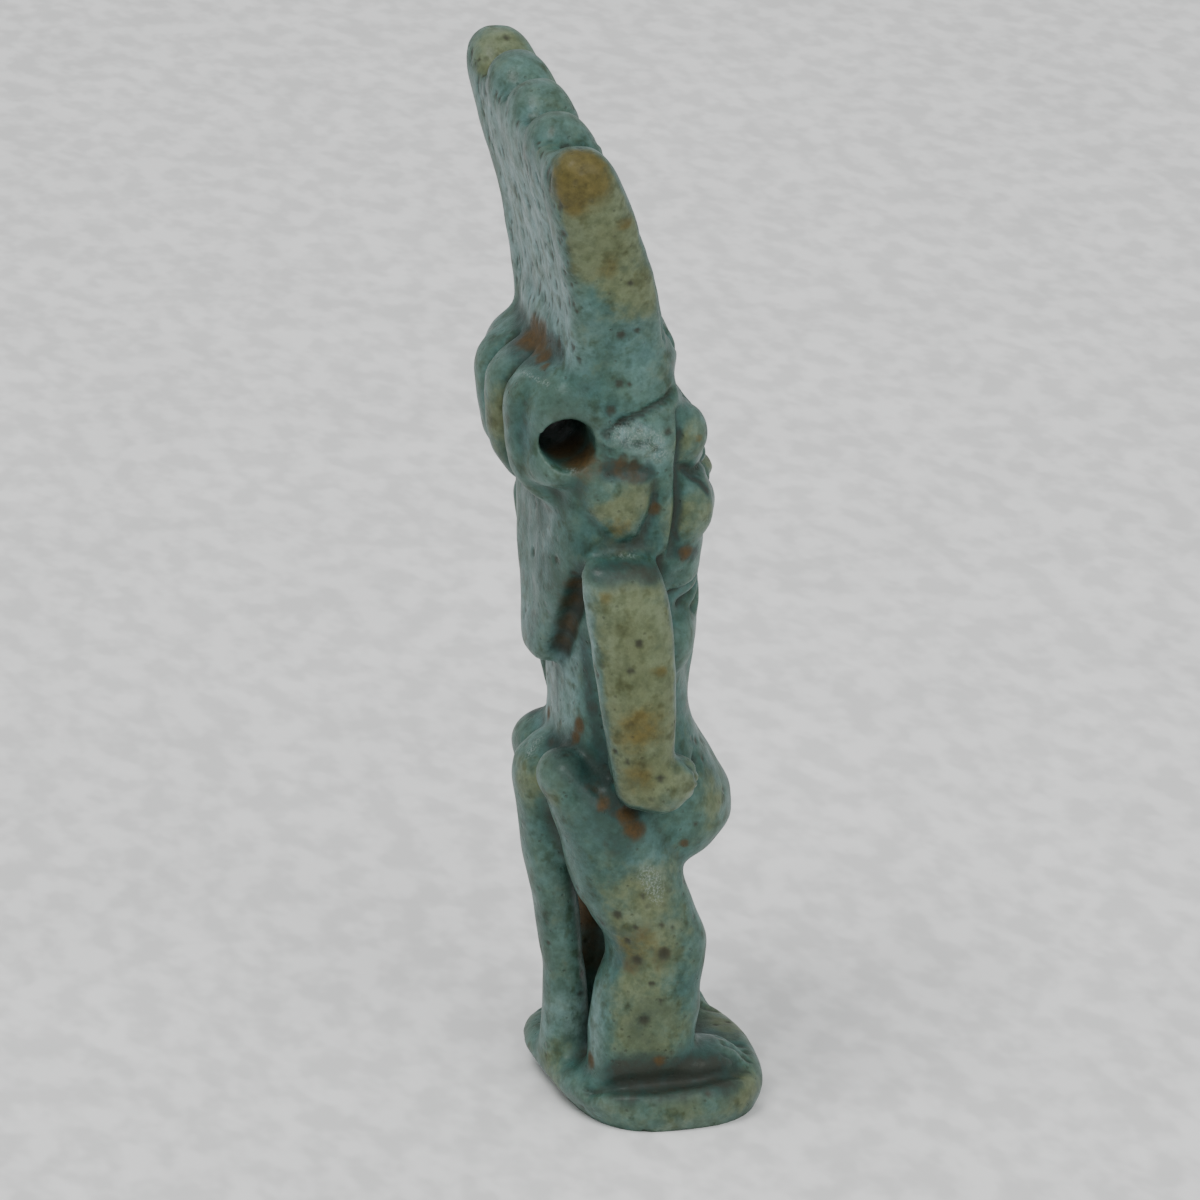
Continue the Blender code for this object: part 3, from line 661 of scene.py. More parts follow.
def remesh(obj, voxel):
    """Fuses overlapping forms into one skin."""
    modifier = obj.modifiers.new("fuse", "REMESH")
    modifier.mode = "VOXEL"
    modifier.voxel_size = voxel
    settle(obj)


def soften(obj, passes):
    """Rounds every edge and fills every seam a little, as the glaze does."""
    modifier = obj.modifiers.new("soften", "SMOOTH")
    modifier.factor = 0.5
    modifier.iterations = passes
    settle(obj)


def cut(obj, cutter):
    """Cuts the rod's hole through the solid."""
    modifier = obj.modifiers.new("cut", "BOOLEAN")
    modifier.operation = "DIFFERENCE"
    modifier.object = cutter
    settle(obj)


def decimate(obj, most):
    """Brings the surface down to a number of triangles, which stay dense where it curves."""
    obj.data.calc_loop_triangles()
    modifier = obj.modifiers.new("decimate", "DECIMATE")
    modifier.ratio = min(1.0, most / len(obj.data.loop_triangles))
    settle(obj)


def cut_underside(obj):
    """Cuts the base flat at the origin's height."""
    shape = bmesh.new()
    shape.from_mesh(obj.data)
    bmesh.ops.bisect_plane(
        shape,
        geom=shape.verts[:] + shape.edges[:] + shape.faces[:],
        plane_co=(0, 0, 0),
        plane_no=(0, 0, 1),
        clear_inner=True,
    )
    rim = [edge for edge in shape.edges if edge.is_boundary]
    bmesh.ops.holes_fill(shape, edges=rim, sides=0)
    bmesh.ops.triangulate(shape, faces=[face for face in shape.faces if len(face.verts) > 4])
    shape.to_mesh(obj.data)
    shape.free()


def press_flat(obj):
    """Returns what the last step lifted off the underside to its plane."""
    for vert in obj.data.vertices:
        if vert.co.z < FLAT_WITHIN:
            vert.co.z = 0.0


# Mesh fineness of the visible surface
ROUGH_VOXEL = 0.2 * MM
FINE_VOXEL = 0.152 * MM
MOST_TRIANGLES = 196000

# The brown earth in the hollows, as x, y, z, radius and strength in figure units
EARTH_PLACES = (
    (-0.3, 4.35, 30.7, 0.75, 1.0),
    (-1.4, 4.4, 30.9, 0.7, 0.9),
    (-2.4, 4.3, 30.5, 0.5, 0.7),
    (-3.2, 4.6, 30.2, 0.28, 0.7),
    (-5.5, 2.0, 26.7, 0.45, 0.55),
    (-4.8, 1.3, 5.2, 0.55, 0.42),
    (-4.95, 0.3, 5.6, 0.5, 0.36),
    (-4.95, 1.0, 6.7, 0.5, 0.3),
    (1.5, 1.6, 3.4, 1.0, 0.5),
    (-5.3, 0.6, 24.8, 0.3, 0.8),
    (-4.6, -0.8, 22.6, 0.4, 0.9),
    (-4.7, 3.4, 26.8, 0.8, 0.9),
    (-3.0, 3.6, 26.7, 0.9, 0.9),
    (-3.6, 3.4, 21.3, 0.6, 0.5),
    (-3.0, 3.4, 20.4, 0.6, 0.45),
    (-2.3, 3.4, 19.2, 0.6, 0.5),
    (-1.8, 3.5, 18.2, 0.5, 0.5),
    (-2.7, 3.0, 14.9, 0.38, 1.0),
    (-2.55, 3.1, 14.4, 0.3, 0.9),
    (0.7, 3.5, 14.2, 0.35, 0.85),
    (-5.5, 1.5, 26.5, 0.5, 0.35),
    (-4.75, 2.6, 12.5, 0.35, 0.7),
    (-4.9, 1.55, 11.8, 0.45, 1.0),
    (-5.0, 1.4, 11.15, 0.45, 1.0),
    (-4.2, -0.9, 10.15, 0.25, 0.8),
    (-4.85, 0.25, 1.15, 0.22, 0.9),
    (-3.2, 2.7, 0.6, 0.45, 0.8),
    (2.0, 1.8, 5.0, 1.1, 0.95),
    (1.2, -2.0, 22.6, 0.4, 0.7),
    (0.3, -3.7, 11.6, 0.35, 0.8),
    (4.9, -0.6, 16.0, 0.4, 0.6),
    (4.7, 3.4, 26.8, 0.8, 0.8),
    (2.6, 3.7, 19.8, 0.4, 0.8),
    (5.0, 1.4, 11.3, 0.5, 0.8),
    (-1.0, -1.0, 1.0, 0.8, 0.6),
)
# Where the glaze has worn to olive
OLIVE_PLACES = (
    (5.7, 4.2, 40.9, 1.3, 1.0),
    (-5.7, 2.2, 25.0, 0.95, 1.0),
    (-5.65, 1.5, 25.6, 0.9, 0.7),
    (-0.9, 5.7, 27.2, 1.5, 0.7),
    (-5.0, -0.85, 27.5, 0.8, 0.6),
    (-4.95, -0.9, 24.2, 1.1, 0.6),
    (-1.0, 4.8, 12.0, 0.9, 0.7),
    (-3.6, 4.3, 12.6, 0.7, 0.5),
    (-3.8, -2.3, 11.6, 1.1, 0.6),
    (-5.0, -3.0, -0.5, 1.2, 0.95),
    (-5.5, -0.6, -0.6, 1.3, 0.55),
    (-5.0, 2.0, -0.5, 1.2, 0.5),
    (-1.2, 4.2, -0.4, 1.2, 0.5),
    (5.9, 2.0, 25.1, 1.1, 0.8),
    (0.0, -4.2, 10.2, 1.6, 0.6),
    (0.0, -2.9, 24.5, 0.8, 0.7),
    (2.6, -2.2, 27.2, 1.0, 0.5),
    (3.0, -2.2, 5.2, 1.1, 0.7),
    (-2.6, -2.2, 4.6, 1.0, 0.6),
    (1.0, -4.2, -0.9, 2.2, 0.7),
    (1.5, -1.4, 36.0, 1.6, 0.4),
)
# Long worn stretches of the sides, as two ends, radius and strength
OLIVE_RUNS = (
    ((-6.85, 1.8, 21.3), (-6.7, 1.4, 14.2), 2.1, 1.0),
    ((-6.5, 0.4, 13.8), (-6.0, -0.8, 13.3), 1.2, 0.9),
    ((-8.0, 4.2, 40.0), (-7.2, 3.1, 36.6), 2.2, 1.0),
    ((-7.1, 2.8, 36.4), (-6.5, 1.6, 34.2), 1.7, 0.85),
    ((-6.9, 1.4, 35.4), (-6.0, -0.4, 31.4), 0.9, 0.7),
    ((-5.0, 0.9, 8.0), (-4.9, 0.9, 1.6), 1.7, 0.72),
    ((6.85, 1.8, 21.3), (6.7, 1.4, 14.2), 2.0, 0.85),
    ((8.0, 4.2, 40.0), (6.6, 1.6, 34.0), 1.8, 0.8),
    ((5.0, 0.9, 8.0), (4.9, 0.9, 1.6), 1.7, 0.6),
)
# Where iron in the body stains it brown
OCHRE_PLACES = (
    (-7.9, 4.3, 39.4, 1.35, 1.25),
    (-7.8, 4.4, 38.4, 0.7, 1.0),
    (-7.3, 2.5, 37.2, 0.35, 0.9),
    (-6.75, 2.8, 35.3, 0.5, 0.6),
    (-6.8, 1.6, 16.2, 1.0, 0.95),
    (-6.65, 1.6, 14.1, 0.75, 0.75),
    (-6.85, 0.8, 18.6, 0.3, 0.75),
    (-6.6, 3.1, 21.8, 0.3, 0.55),
    (-4.9, 1.4, 6.2, 0.9, 0.7),
    (-5.65, 2.1, 24.2, 0.45, 0.7),
    (-4.85, -1.3, 27.4, 0.2, 0.9),
    (7.9, 4.3, 39.2, 1.2, 0.8),
    (6.8, 1.4, 15.4, 0.8, 0.6),
    (0.6, -4.2, 9.8, 0.7, 0.4),
)
# Single pits that show, with their radius in figure units
PIT_PLACES = (
    (-5.8, 2.1, 32.2, 0.17),
    (-5.8, 1.5, 32.35, 0.11),
    (-5.6, 2.15, 30.15, 0.15),
    (-5.15, 3.7, 31.1, 0.12),
    (-5.5, 2.45, 29.05, 0.18),
    (-6.9, 1.65, 19.85, 0.15),
    (-6.9, 2.0, 18.7, 0.14),
    (-6.4, 2.55, 15.2, 0.12),
    (-6.65, 2.1, 14.8, 0.11),
    (-6.6, 0.7, 13.95, 0.14),
    (-4.75, 2.0, 7.5, 0.2),
    (-4.7, 1.2, 5.4, 0.2),
    (-4.95, 0.1, 5.7, 0.24),
    (-4.8, 0.9, 2.8, 0.2),
    (-4.9, 1.0, 8.3, 0.13),
    (-4.9, -0.2, 6.8, 0.12),
    (-4.7, 1.6, 6.3, 0.14),
    (-4.85, 0.6, 4.4, 0.13),
    (-4.9, 0.2, 3.6, 0.1),
    (-3.3, 4.2, 22.3, 0.14),
    (-0.55, 4.4, 21.65, 0.15),
    (-2.4, 3.9, 31.0, 0.15),
    (-3.4, 4.3, 12.8, 0.14),
)
# Thick dark grime with painted shade: between the feet and the base's rim, behind the arms and in the
# seams, where shadows fall, and weak painted shade over the cape and the loop block
GRIME_AND_SHADE_RUNS = (
    ((-4.7, 1.7, 0.3), (-4.75, -2.2, 0.2), 1.2, 1.0),
    ((-4.6, 0.2, 0.9), (-4.6, -2.8, 0.6), 0.7, 0.55),
    ((-4.75, -2.2, 0.2), (-4.2, -3.2, 0.15), 0.6, 0.8),
    ((4.7, 1.9, 0.35), (4.75, -2.2, 0.2), 0.75, 0.9),
    ((-1.5, -2.2, 0.1), (1.8, -2.2, 0.1), 1.1, 0.6),
    ((-5.2, 3.5, 22.6), (-3.4, 3.3, 21.0), 0.42, 0.5),
    ((-3.4, 3.3, 21.0), (-1.6, 3.5, 17.7), 0.36, 0.4),
    ((4.9, 3.5, 22.6), (3.3, 3.7, 20.9), 0.5, 0.95),
    ((3.3, 3.7, 20.9), (1.6, 3.5, 17.7), 0.45, 0.95),
    ((-5.3, 2.7, 20.4), (-5.3, 1.9, 13.0), 0.55, 0.95),
    ((-3.0, 2.95, 18.8), (-3.3, 2.7, 16.4), 0.35, 0.6),
    ((-3.3, 2.7, 16.4), (-3.9, 2.3, 13.6), 0.45, 0.64),
    ((-0.6, 3.5, 17.4), (-0.8, 3.5, 15.0), 0.16, 0.6),
    ((-1.6, 3.4, 18.0), (-1.5, 3.4, 16.2), 0.16, 0.6),
    ((5.3, 2.7, 20.4), (5.3, 1.9, 13.0), 0.55, 0.95),
    ((-0.9, 3.8, 13.8), (-2.3, 3.7, 14.1), 0.6, 0.85),
    ((-2.3, 3.6, 14.2), (-3.7, 3.7, 13.9), 0.8, 0.66),
    ((-3.7, 3.5, 13.7), (-4.6, 2.7, 12.6), 0.95, 0.68),
    ((-4.6, 2.7, 12.6), (-4.9, 1.5, 11.9), 0.75, 0.72),
    ((-6.1, 3.0, 22.7), (-6.25, 0.9, 22.5), 0.6, 0.78),
    ((-1.5, 4.3, 25.3), (-2.0, 4.2, 21.6), 2.0, 0.32),
    ((-4.9, 4.0, 29.3), (-4.9, 4.0, 26.6), 1.3, 0.26),
    ((-0.3, 5.1, 30.1), (-2.6, 4.6, 30.3), 0.6, 0.6),
    ((-3.0, 5.3, 29.9), (-3.6, 4.8, 30.1), 0.5, 0.35),
    ((-4.4, 3.4, 12.6), (-4.8, 2.0, 10.8), 0.8, 0.5),
    ((3.4, 3.4, 13.6), (4.8, 2.2, 12.3), 0.6, 0.8),
    ((0.4, 4.6, 30.5), (-3.2, 4.2, 30.9), 0.95, 0.75),
    ((3.2, 4.2, 30.9), (1.0, 4.6, 30.5), 0.6, 0.6),
    ((-5.5, 2.6, 26.55), (-5.5, 1.0, 26.35), 0.38, 0.95),
    ((-5.55, 2.2, 28.45), (-5.4, -0.1, 29.3), 0.16, 0.9),
    ((-5.35, 0.6, 25.4), (-5.3, 0.75, 24.2), 0.2, 0.8),
    ((-4.9, 0.6, 3.2), (-4.9, 0.9, 1.6), 1.0, 0.35),
    ((-4.95, -0.35, 27.9), (-4.85, -0.35, 23.2), 0.22, 0.85),
    ((-4.65, -0.9, 26.0), (-4.7, -1.6, 25.2), 0.25, 0.9),
    ((-4.2, -1.4, 22.3), (-4.6, -0.5, 22.7), 0.4, 0.8),
    ((-5.2, -0.1, 20.8), (-5.2, -0.3, 15.0), 0.35, 0.75),
    ((-1.6, 2.2, 9.5), (-1.8, 2.3, 5.0), 0.9, 0.6),
    ((1.6, 2.2, 9.5), (1.8, 2.3, 5.0), 0.9, 0.6),
    ((-4.7, 3.0, 26.6), (4.7, 3.0, 26.6), 0.6, 0.7),
)
# Where the glaze is powdery and pale, partly painted light: paler on the crown's back, the thigh and the
# crown's lower end where the light falls
POWDER_AND_LIGHT_RUNS = (
    ((-5.6, 1.9, 28.0), (-5.55, 1.0, 27.4), 0.75, 0.75),
    ((-3.4, 4.5, 36.9), (-3.6, 4.0, 32.4), 2.0, 0.95),
    ((0.0, 4.7, 37.6), (-0.6, 4.1, 32.4), 2.3, 0.95),
    ((3.2, 4.8, 38.0), (3.0, 4.1, 32.4), 2.0, 0.9),
    ((-1.9, 3.3, 19.2), (-2.0, 3.2, 14.8), 1.0, 0.7),
    ((1.0, 3.2, 18.0), (1.0, 3.3, 15.0), 1.8, 0.8),
    ((-5.8, 3.6, 22.0), (-5.9, 3.3, 19.2), 0.5, 0.8),
    ((-4.95, 0.9, 9.0), (-4.95, 0.5, 8.4), 0.35, 0.8),
    ((-4.95, 0.9, 9.4), (-4.9, 0.6, 7.4), 1.0, 0.35),
    ((-5.9, 1.5, 33.0), (-5.8, 1.2, 31.2), 1.4, 0.25),
    ((-1.2, 2.6, 2.4), (-1.1, 2.4, 0.6), 0.8, 0.7),
    ((-3.2, 2.6, 3.4), (-3.4, 2.6, 1.2), 0.7, 0.7),
    ((-0.3, 3.9, 0.8), (-1.1, 3.5, 2.4), 0.6, 0.5),
    ((-2.6, 4.1, 24.8), (-2.6, 4.2, 23.0), 0.5, 0.5),
    ((1.5, -2.0, 33.5), (1.5, -1.2, 36.0), 1.8, 0.4),
    ((0.0, -3.9, 12.2), (0.0, -3.9, 11.6), 1.2, 0.5),
)
# Small patches of painted glints: white specular highlights
GLINT_HIGHLIGHT_RUNS = (
    ((-5.55, 2.0, 28.05), (-5.5, 0.9, 27.7), 0.55, 0.8),
    ((-5.5, 1.0, 27.6), (-5.5, 0.6, 27.2), 0.4, 0.8),
    ((-4.95, 0.9, 9.2), (-4.95, 0.5, 8.4), 0.35, 1.0),
    ((-5.1, 4.1, 26.5), (-5.2, 3.3, 26.45), 0.16, 1.0),
    ((-2.0, 5.5, 29.8), (-4.4, 4.8, 29.9), 0.14, 0.9),
    ((-0.3, 4.3, 13.7), (-0.7, 4.7, 13.1), 0.25, 0.9),
    ((-5.6, 2.0, 23.0), (-5.6, 1.5, 23.0), 0.15, 0.8),
    ((-4.2, -1.2, 27.8), (-4.5, -1.0, 27.4), 0.2, 0.8),
    ((-4.7, -1.0, 25.2), (-4.6, -1.5, 25.0), 0.15, 0.7),
)
# How far the hole's rims are worn toward the evened-out surface, and over how many passes
RIM_WEAR = 0.9
RIM_PASSES = 14
# How many passes even the surface out, where small and large hollows are sought
CREASE_PASSES = 6
HOLLOW_PASSES = 60
BARBS = 15
# How far a pit's stain reaches beyond it, and how many pits there are
PIT_STAIN = 1.0
PITS = 170
LONG_PITS = 190
PIT_SEED = 11


def unevenness(points, size):
    """Smooth noise from about -1 to 1 at each point, with lumps of about the size."""
    scale = 1 / (size * UNIT)
    return np.array([noise.noise(Vector(point) * scale) for point in points])


class FineSkin(Skin):
    """The fine surface, with what each point's neighbours say of it."""

    def __init__(self, obj):
        super().__init__(obj)
        ends = np.empty(len(self.mesh.edges) * 2, np.int32)
        self.mesh.edges.foreach_get("vertices", ends)
        self.ends = ends.reshape(-1, 2)
        self.neighbours = np.bincount(ends, minlength=len(self.points))
        self.pitting = np.zeros(len(self.points))

    def spread(self, values, passes):
        """Evens out a value over the surface."""
        first, second = self.ends.T
        count = len(values)
        for _ in range(passes):
            total = np.bincount(first, values[second], count) + np.bincount(second, values[first], count)
            values = 0.5 * values + 0.5 * total / self.neighbours
        return values

    def hollowness(self, passes):
        """How far each point lies under the evened-out surface, in figure units."""
        evened = np.stack([self.spread(self.points[:, axis], passes) for axis in range(3)], axis=1)
        return ((evened - self.points) * self.normals).sum(axis=1) / UNIT

    def pit(self, centre, radius, depth, height=1.0):
        """Presses a small pit, as high as its height times its width, and marks it."""
        offset = (self.points - centre) / (radius * UNIT)
        offset[:, 2] /= height
        near = np.flatnonzero(np.abs(offset).max(axis=1) < 2.2)
        distance = (offset[near] ** 2).sum(axis=1)
        self.points[near] -= self.normals[near] * (depth * UNIT * np.exp(-(distance**1.5)))[:, None]
        self.pitting[near] = np.maximum(self.pitting[near], np.exp(-distance / PIT_STAIN**2))

    def keep(self, name, values):
        """Stores a value at each point, for the material."""
        attribute = self.mesh.attributes.new(name, "FLOAT", "POINT")
        attribute.data.foreach_set("value", values.astype(np.float32))


def carve_fine(skin):
    """The relief that is too fine for the solid: barbs, strands, creases, knuckles and lips."""
    for place in range(FEATHERS):
        x = place - (FEATHERS - 1) / 2
        for barb in range(BARBS):
            share = 0.12 + 0.052 * barb
            pitch = feather_pitch(share)
            z = CROWN_FOOT + share * CROWN_LENGTH
            for side in SIDES:
                if abs(x + side) > FEATHERS / 2:
                    continue
                quill = (x * pitch + 0.12 * side, 1.0, z)
                edge = (x * pitch + 0.42 * pitch * side, 1.4, z + 0.75)
                skin.groove([quill, edge], 0.1, 0.07, FRONT, reach=3.5)
    for side in SIDES:
        for line in range(3):
            brow = arc(2.3, 26.55 + 0.42 * line, 1.7, 0.75, 40, 150, -1.9)
            skin.groove(mirrored(brow, side), 0.1, 0.12, FRONT, reach=1.6)
        pupil = (2.15 * side, -2.2, 26.0)
        skin.dimple(pupil, 0.3, 0.09)
        wing = arc(0.9, 24.35, 0.6, 0.55, -80, 80, -2.7)
        skin.groove(mirrored(wing, side), 0.12, 0.16, FRONT)
        fist_crease = [(5.9, -0.55, 14.2), (5.7, -0.75, 13.3), (5.4, -0.7, 12.3)]
        skin.groove(mirrored(fist_crease, side), 0.14, 0.16, (0.5 * side, -0.85, 0), reach=1.2)
        sole = [(4.9, 3.0, 0.25), (5.0, 1.0, 0.1), (5.0, -1.5, 0.15), (4.6, -3.2, 0.2)]
        skin.groove(mirrored(sole, side), 0.3, 0.38, (0.8 * side, 0, 0.6), reach=1.4)
        behind_arm = [(5.0, 2.9, 21.4), (5.1, 2.4, 18.0), (5.1, 1.9, 15.0), (5.1, 1.7, 13.0)]
        skin.groove(mirrored(behind_arm, side), 0.3, 0.35, (0.2 * side, 0.98, 0), reach=1.6)
        under_hand = [(5.2, 1.6, 12.2), (5.3, 0.2, 12.0), (5.0, -1.1, 12.5), (4.9, -1.7, 13.6)]
        skin.groove(mirrored(under_hand, side), 0.22, 0.25, (side, 0, 0), reach=1.6)
        temple = [(4.5, -2.0, 26.0), (4.7, -1.2, 25.9), (4.9, -0.5, 26.3)]
        skin.groove(mirrored(temple, side), 0.2, 0.3, (side, 0, 0), reach=1.6)
        curl_back = [(5.3, 0.75, 26.0), (5.3, 0.7, 24.8), (5.3, 1.3, 23.6)]
        skin.groove(mirrored(curl_back, side), 0.2, 0.2, (side, 0, 0))
    for strand in range(9):
        x = (strand - 4) * 0.46
        path = [(x * 1.1, -2.0, 19.4), (x * 0.9, -2.0, 16.9), (x * 0.5, -1.9, 14.5)]
        skin.groove(path, 0.1, 0.1, FRONT, reach=1.4)


def round_rim(skin):
    """Wears the rims of the hole round."""
    offset = skin.points[:, 1:] - np.array(at(*HOLE_CENTRE))[1:]
    beyond = (np.linalg.norm(offset, axis=1) - HOLE_DIAMETER / 2) / MM
    share = RIM_WEAR * np.exp(-((beyond / 0.4) ** 4))
    evened = np.stack([skin.spread(skin.points[:, axis], RIM_PASSES) for axis in range(3)], axis=1)
    skin.points += (evened - skin.points) * share[:, None]


def roughen(skin):
    """The moulded surface's unevenness, the rough ears, and pits where bubbles broke."""
    swell = unevenness(skin.points, 2.6) * 0.09 + unevenness(skin.points, 0.9) * 0.03
    flat_foot = np.clip((skin.points[:, 2] - 0.2 * MM) / MM, 0, 1)
    skin.press(swell * flat_foot)
    for side in SIDES:
        ear = np.linalg.norm(skin.points - np.array(at(5.6 * side, 1.9, 27.6)), axis=1) / UNIT
        lumps = unevenness(skin.points, 0.35)
        skin.press(lumps * 0.22 * np.clip(1.7 - ear, 0, 1))
    random = np.random.default_rng(PIT_SEED)
    for x, y, z, radius in PIT_PLACES:
        skin.pit(np.array(at(x, y, z)), radius * 1.25, radius * 0.7)
    for _ in range(PITS):
        centre = skin.points[random.integers(len(skin.points))]
        radius = random.uniform(0.12, 0.2)
        skin.pit(centre, radius, radius * 0.35)
    back = np.flatnonzero((skin.normals[:, 1] > 0.7) & (skin.points[:, 2] > 33 * UNIT))
    for _ in range(LONG_PITS):
        centre = skin.points[random.choice(back)]
        radius = random.uniform(0.07, 0.12)
        skin.pit(centre, radius, radius * 0.5, height=random.uniform(1.5, 3.5))


def wandered(points):
    """The points moved a little at random, so that what is laid on them has ragged edges."""
    moved = points.copy()
    for size, reach in ((1.6, 0.7), (0.5, 0.25)):
        for axis in range(3):
            shift = np.array((7.0, 13.0, 29.0)) * MM * (axis + 1)
            moved[:, axis] += unevenness(points + shift, size) * reach * UNIT
    return moved


def cover(moved, runs):
    """How strongly soft runs cover each point, from 0 to 1."""
    most = np.zeros(len(moved))
    for first, last, radius, strength in runs:
        start = np.array(at(*first))
        along = np.array(at(*last)) - start
        offset = moved - start
        share = np.clip(offset @ along / max(along @ along, MM * MM * 0.001), 0, 1)
        distance = np.linalg.norm(offset - np.outer(share, along), axis=1) / (radius * UNIT)
        most = np.maximum(most, strength * np.exp(-(distance**3)))
    return most


def spots(places):
    """Places as runs of no length."""
    return [(place[:3], place[:3], place[3], place[4]) for place in places]


def weather(skin):
    """Stores where the figure is hollow, worn, stained and pitted, and where shade, highlights and glints
    are painted.
    """
    fine = skin.hollowness(CREASE_PASSES)
    broad = skin.hollowness(HOLLOW_PASSES)
    # hollow and crease carry dirt and painted shade in recesses; edge carries a painted highlight on
    # convex edges
    skin.keep("hollow", np.clip(broad / 0.35, 0, 1))
    skin.keep("crease", np.clip(fine / 0.03, 0, 1))
    skin.keep("edge", np.clip(-broad / 0.3, 0, 1))
    moved = wandered(skin.points)
    nearly = (moved + skin.points * 2) / 3
    skin.keep("earth", cover(nearly, spots(EARTH_PLACES)))
    skin.keep("grime_and_shade", cover(nearly, GRIME_AND_SHADE_RUNS))
    skin.keep("powder_and_light", cover(moved, POWDER_AND_LIGHT_RUNS))
    skin.keep("glint_highlight", cover(nearly, GLINT_HIGHLIGHT_RUNS))
    outward = np.clip((np.abs(skin.normals[:, 0]) - 0.3) / 0.45, 0, 1)
    skin.keep("olive", np.maximum(cover(moved, spots(OLIVE_PLACES)), cover(moved, OLIVE_RUNS) * outward))
    skin.keep("ochre", cover(nearly, spots(OCHRE_PLACES)))
    skin.keep("pitting", skin.pitting)


class Nodes:
    """A material under construction. Its methods add a node and give its output."""

    def __init__(self, name):
        self.material = bpy.data.materials.new(name)
        self.material.use_nodes = True
        self.tree = self.material.node_tree
        self.shader = self.tree.nodes["Principled BSDF"]
        self.place = self.tree.nodes.new("ShaderNodeTexCoord").outputs["Object"]

    def put(self, socket, value):
        """Links a socket to an output, or sets it to a plain value."""
        if isinstance(value, bpy.types.NodeSocket):
            self.tree.links.new(value, socket)
        else:
            socket.default_value = value

    def attribute(self, name):
        """A share that the mesh stores at each point."""
        node = self.tree.nodes.new("ShaderNodeAttribute")
        node.attribute_name = name
        return node.outputs["Fac"]

    def noise(self, size, detail=4.0, roughness=0.6, stretch=None):
        """Noise whose lumps are of about a size in metres."""
        node = self.tree.nodes.new("ShaderNodeTexNoise")
        place = self.place if stretch is None else self.stretched(stretch)
        self.put(node.inputs["Vector"], place)
        node.inputs["Scale"].default_value = 1 / size
        node.inputs["Detail"].default_value = detail
        node.inputs["Roughness"].default_value = roughness
        return node.outputs["Fac"]

    def cells(self, size):
        """The distance to the nearest of many scattered points, about a size apart."""
        node = self.tree.nodes.new("ShaderNodeTexVoronoi")
        self.put(node.inputs["Vector"], self.place)
        node.inputs["Scale"].default_value = 1 / size
        return node.outputs["Distance"]

    def stretched(self, stretch):
        """The surface's place, drawn out along each axis."""
        node = self.tree.nodes.new("ShaderNodeMapping")
        self.put(node.inputs["Vector"], self.place)
        node.inputs["Scale"].default_value = stretch
        return node.outputs["Vector"]

    def ramp(self, value, low, high, first=0.0, last=1.0):
        """Maps a range of a value smoothly to another."""
        node = self.tree.nodes.new("ShaderNodeMapRange")
        node.interpolation_type = "SMOOTHSTEP"
        self.put(node.inputs["Value"], value)
        node.inputs["From Min"].default_value = low
        node.inputs["From Max"].default_value = high
        node.inputs["To Min"].default_value = first
        node.inputs["To Max"].default_value = last
        return node.outputs["Result"]

    def math(self, operation, first, second=0.0):
        """One sum on two values."""
        node = self.tree.nodes.new("ShaderNodeMath")
        node.operation = operation
        self.put(node.inputs[0], first)
        self.put(node.inputs[1], second)
        return node.outputs["Value"]

    def mix(self, share, first, second, blend="MIX"):
        """Blends two colours."""
        node = self.tree.nodes.new("ShaderNodeMix")
        node.data_type = "RGBA"
        node.blend_type = blend
        self.put(node.inputs["Factor"], share)
        self.put(node.inputs[6], first)
        self.put(node.inputs[7], second)
        return node.outputs[2]

    def tint(self, share, colour, low, high):
        """Multiplies a colour by a blend of two others."""
        return self.mix(1.0, colour, self.mix(share, low, high), "MULTIPLY")

    def bump(self, height, depth, strength=1.0, normal=None):
        """Raises the surface by a height, whose full range is a depth in metres."""
        node = self.tree.nodes.new("ShaderNodeBump")
        node.inputs["Strength"].default_value = strength
        node.inputs["Distance"].default_value = depth
        self.put(node.inputs["Height"], height)
        if normal is not None:
            self.put(node.inputs["Normal"], normal)
        return node.outputs["Normal"]


TURQUOISE = (0.052, 0.121, 0.106, 1)
DEEP_TEAL = (0.026, 0.074, 0.068, 1)
SEA_GREEN = (0.062, 0.106, 0.066, 1)
PALE_BLUE = (0.155, 0.25, 0.25, 1)
RIM_HIGHLIGHT_GREY = (0.15, 0.19, 0.15, 1)
OLIVE = (0.109, 0.128, 0.062, 1)
OCHRE = (0.094, 0.075, 0.017, 1)
EARTH = (0.08, 0.047, 0.015, 1)
DARK_EARTH = (0.046, 0.034, 0.014, 1)
DARK_DIRT_AND_SHADE = (0.024, 0.027, 0.02, 1)
DARK_GREEN = (0.015, 0.041, 0.037, 1)
PIT_DARK = (0.03, 0.031, 0.019, 1)
GLINT_WHITE = (0.34, 0.4, 0.38, 1)
GLAZE_SPECULAR = 0.2
GLAZE_COAT = 0.06
COAT_ROUGHNESS = 0.2


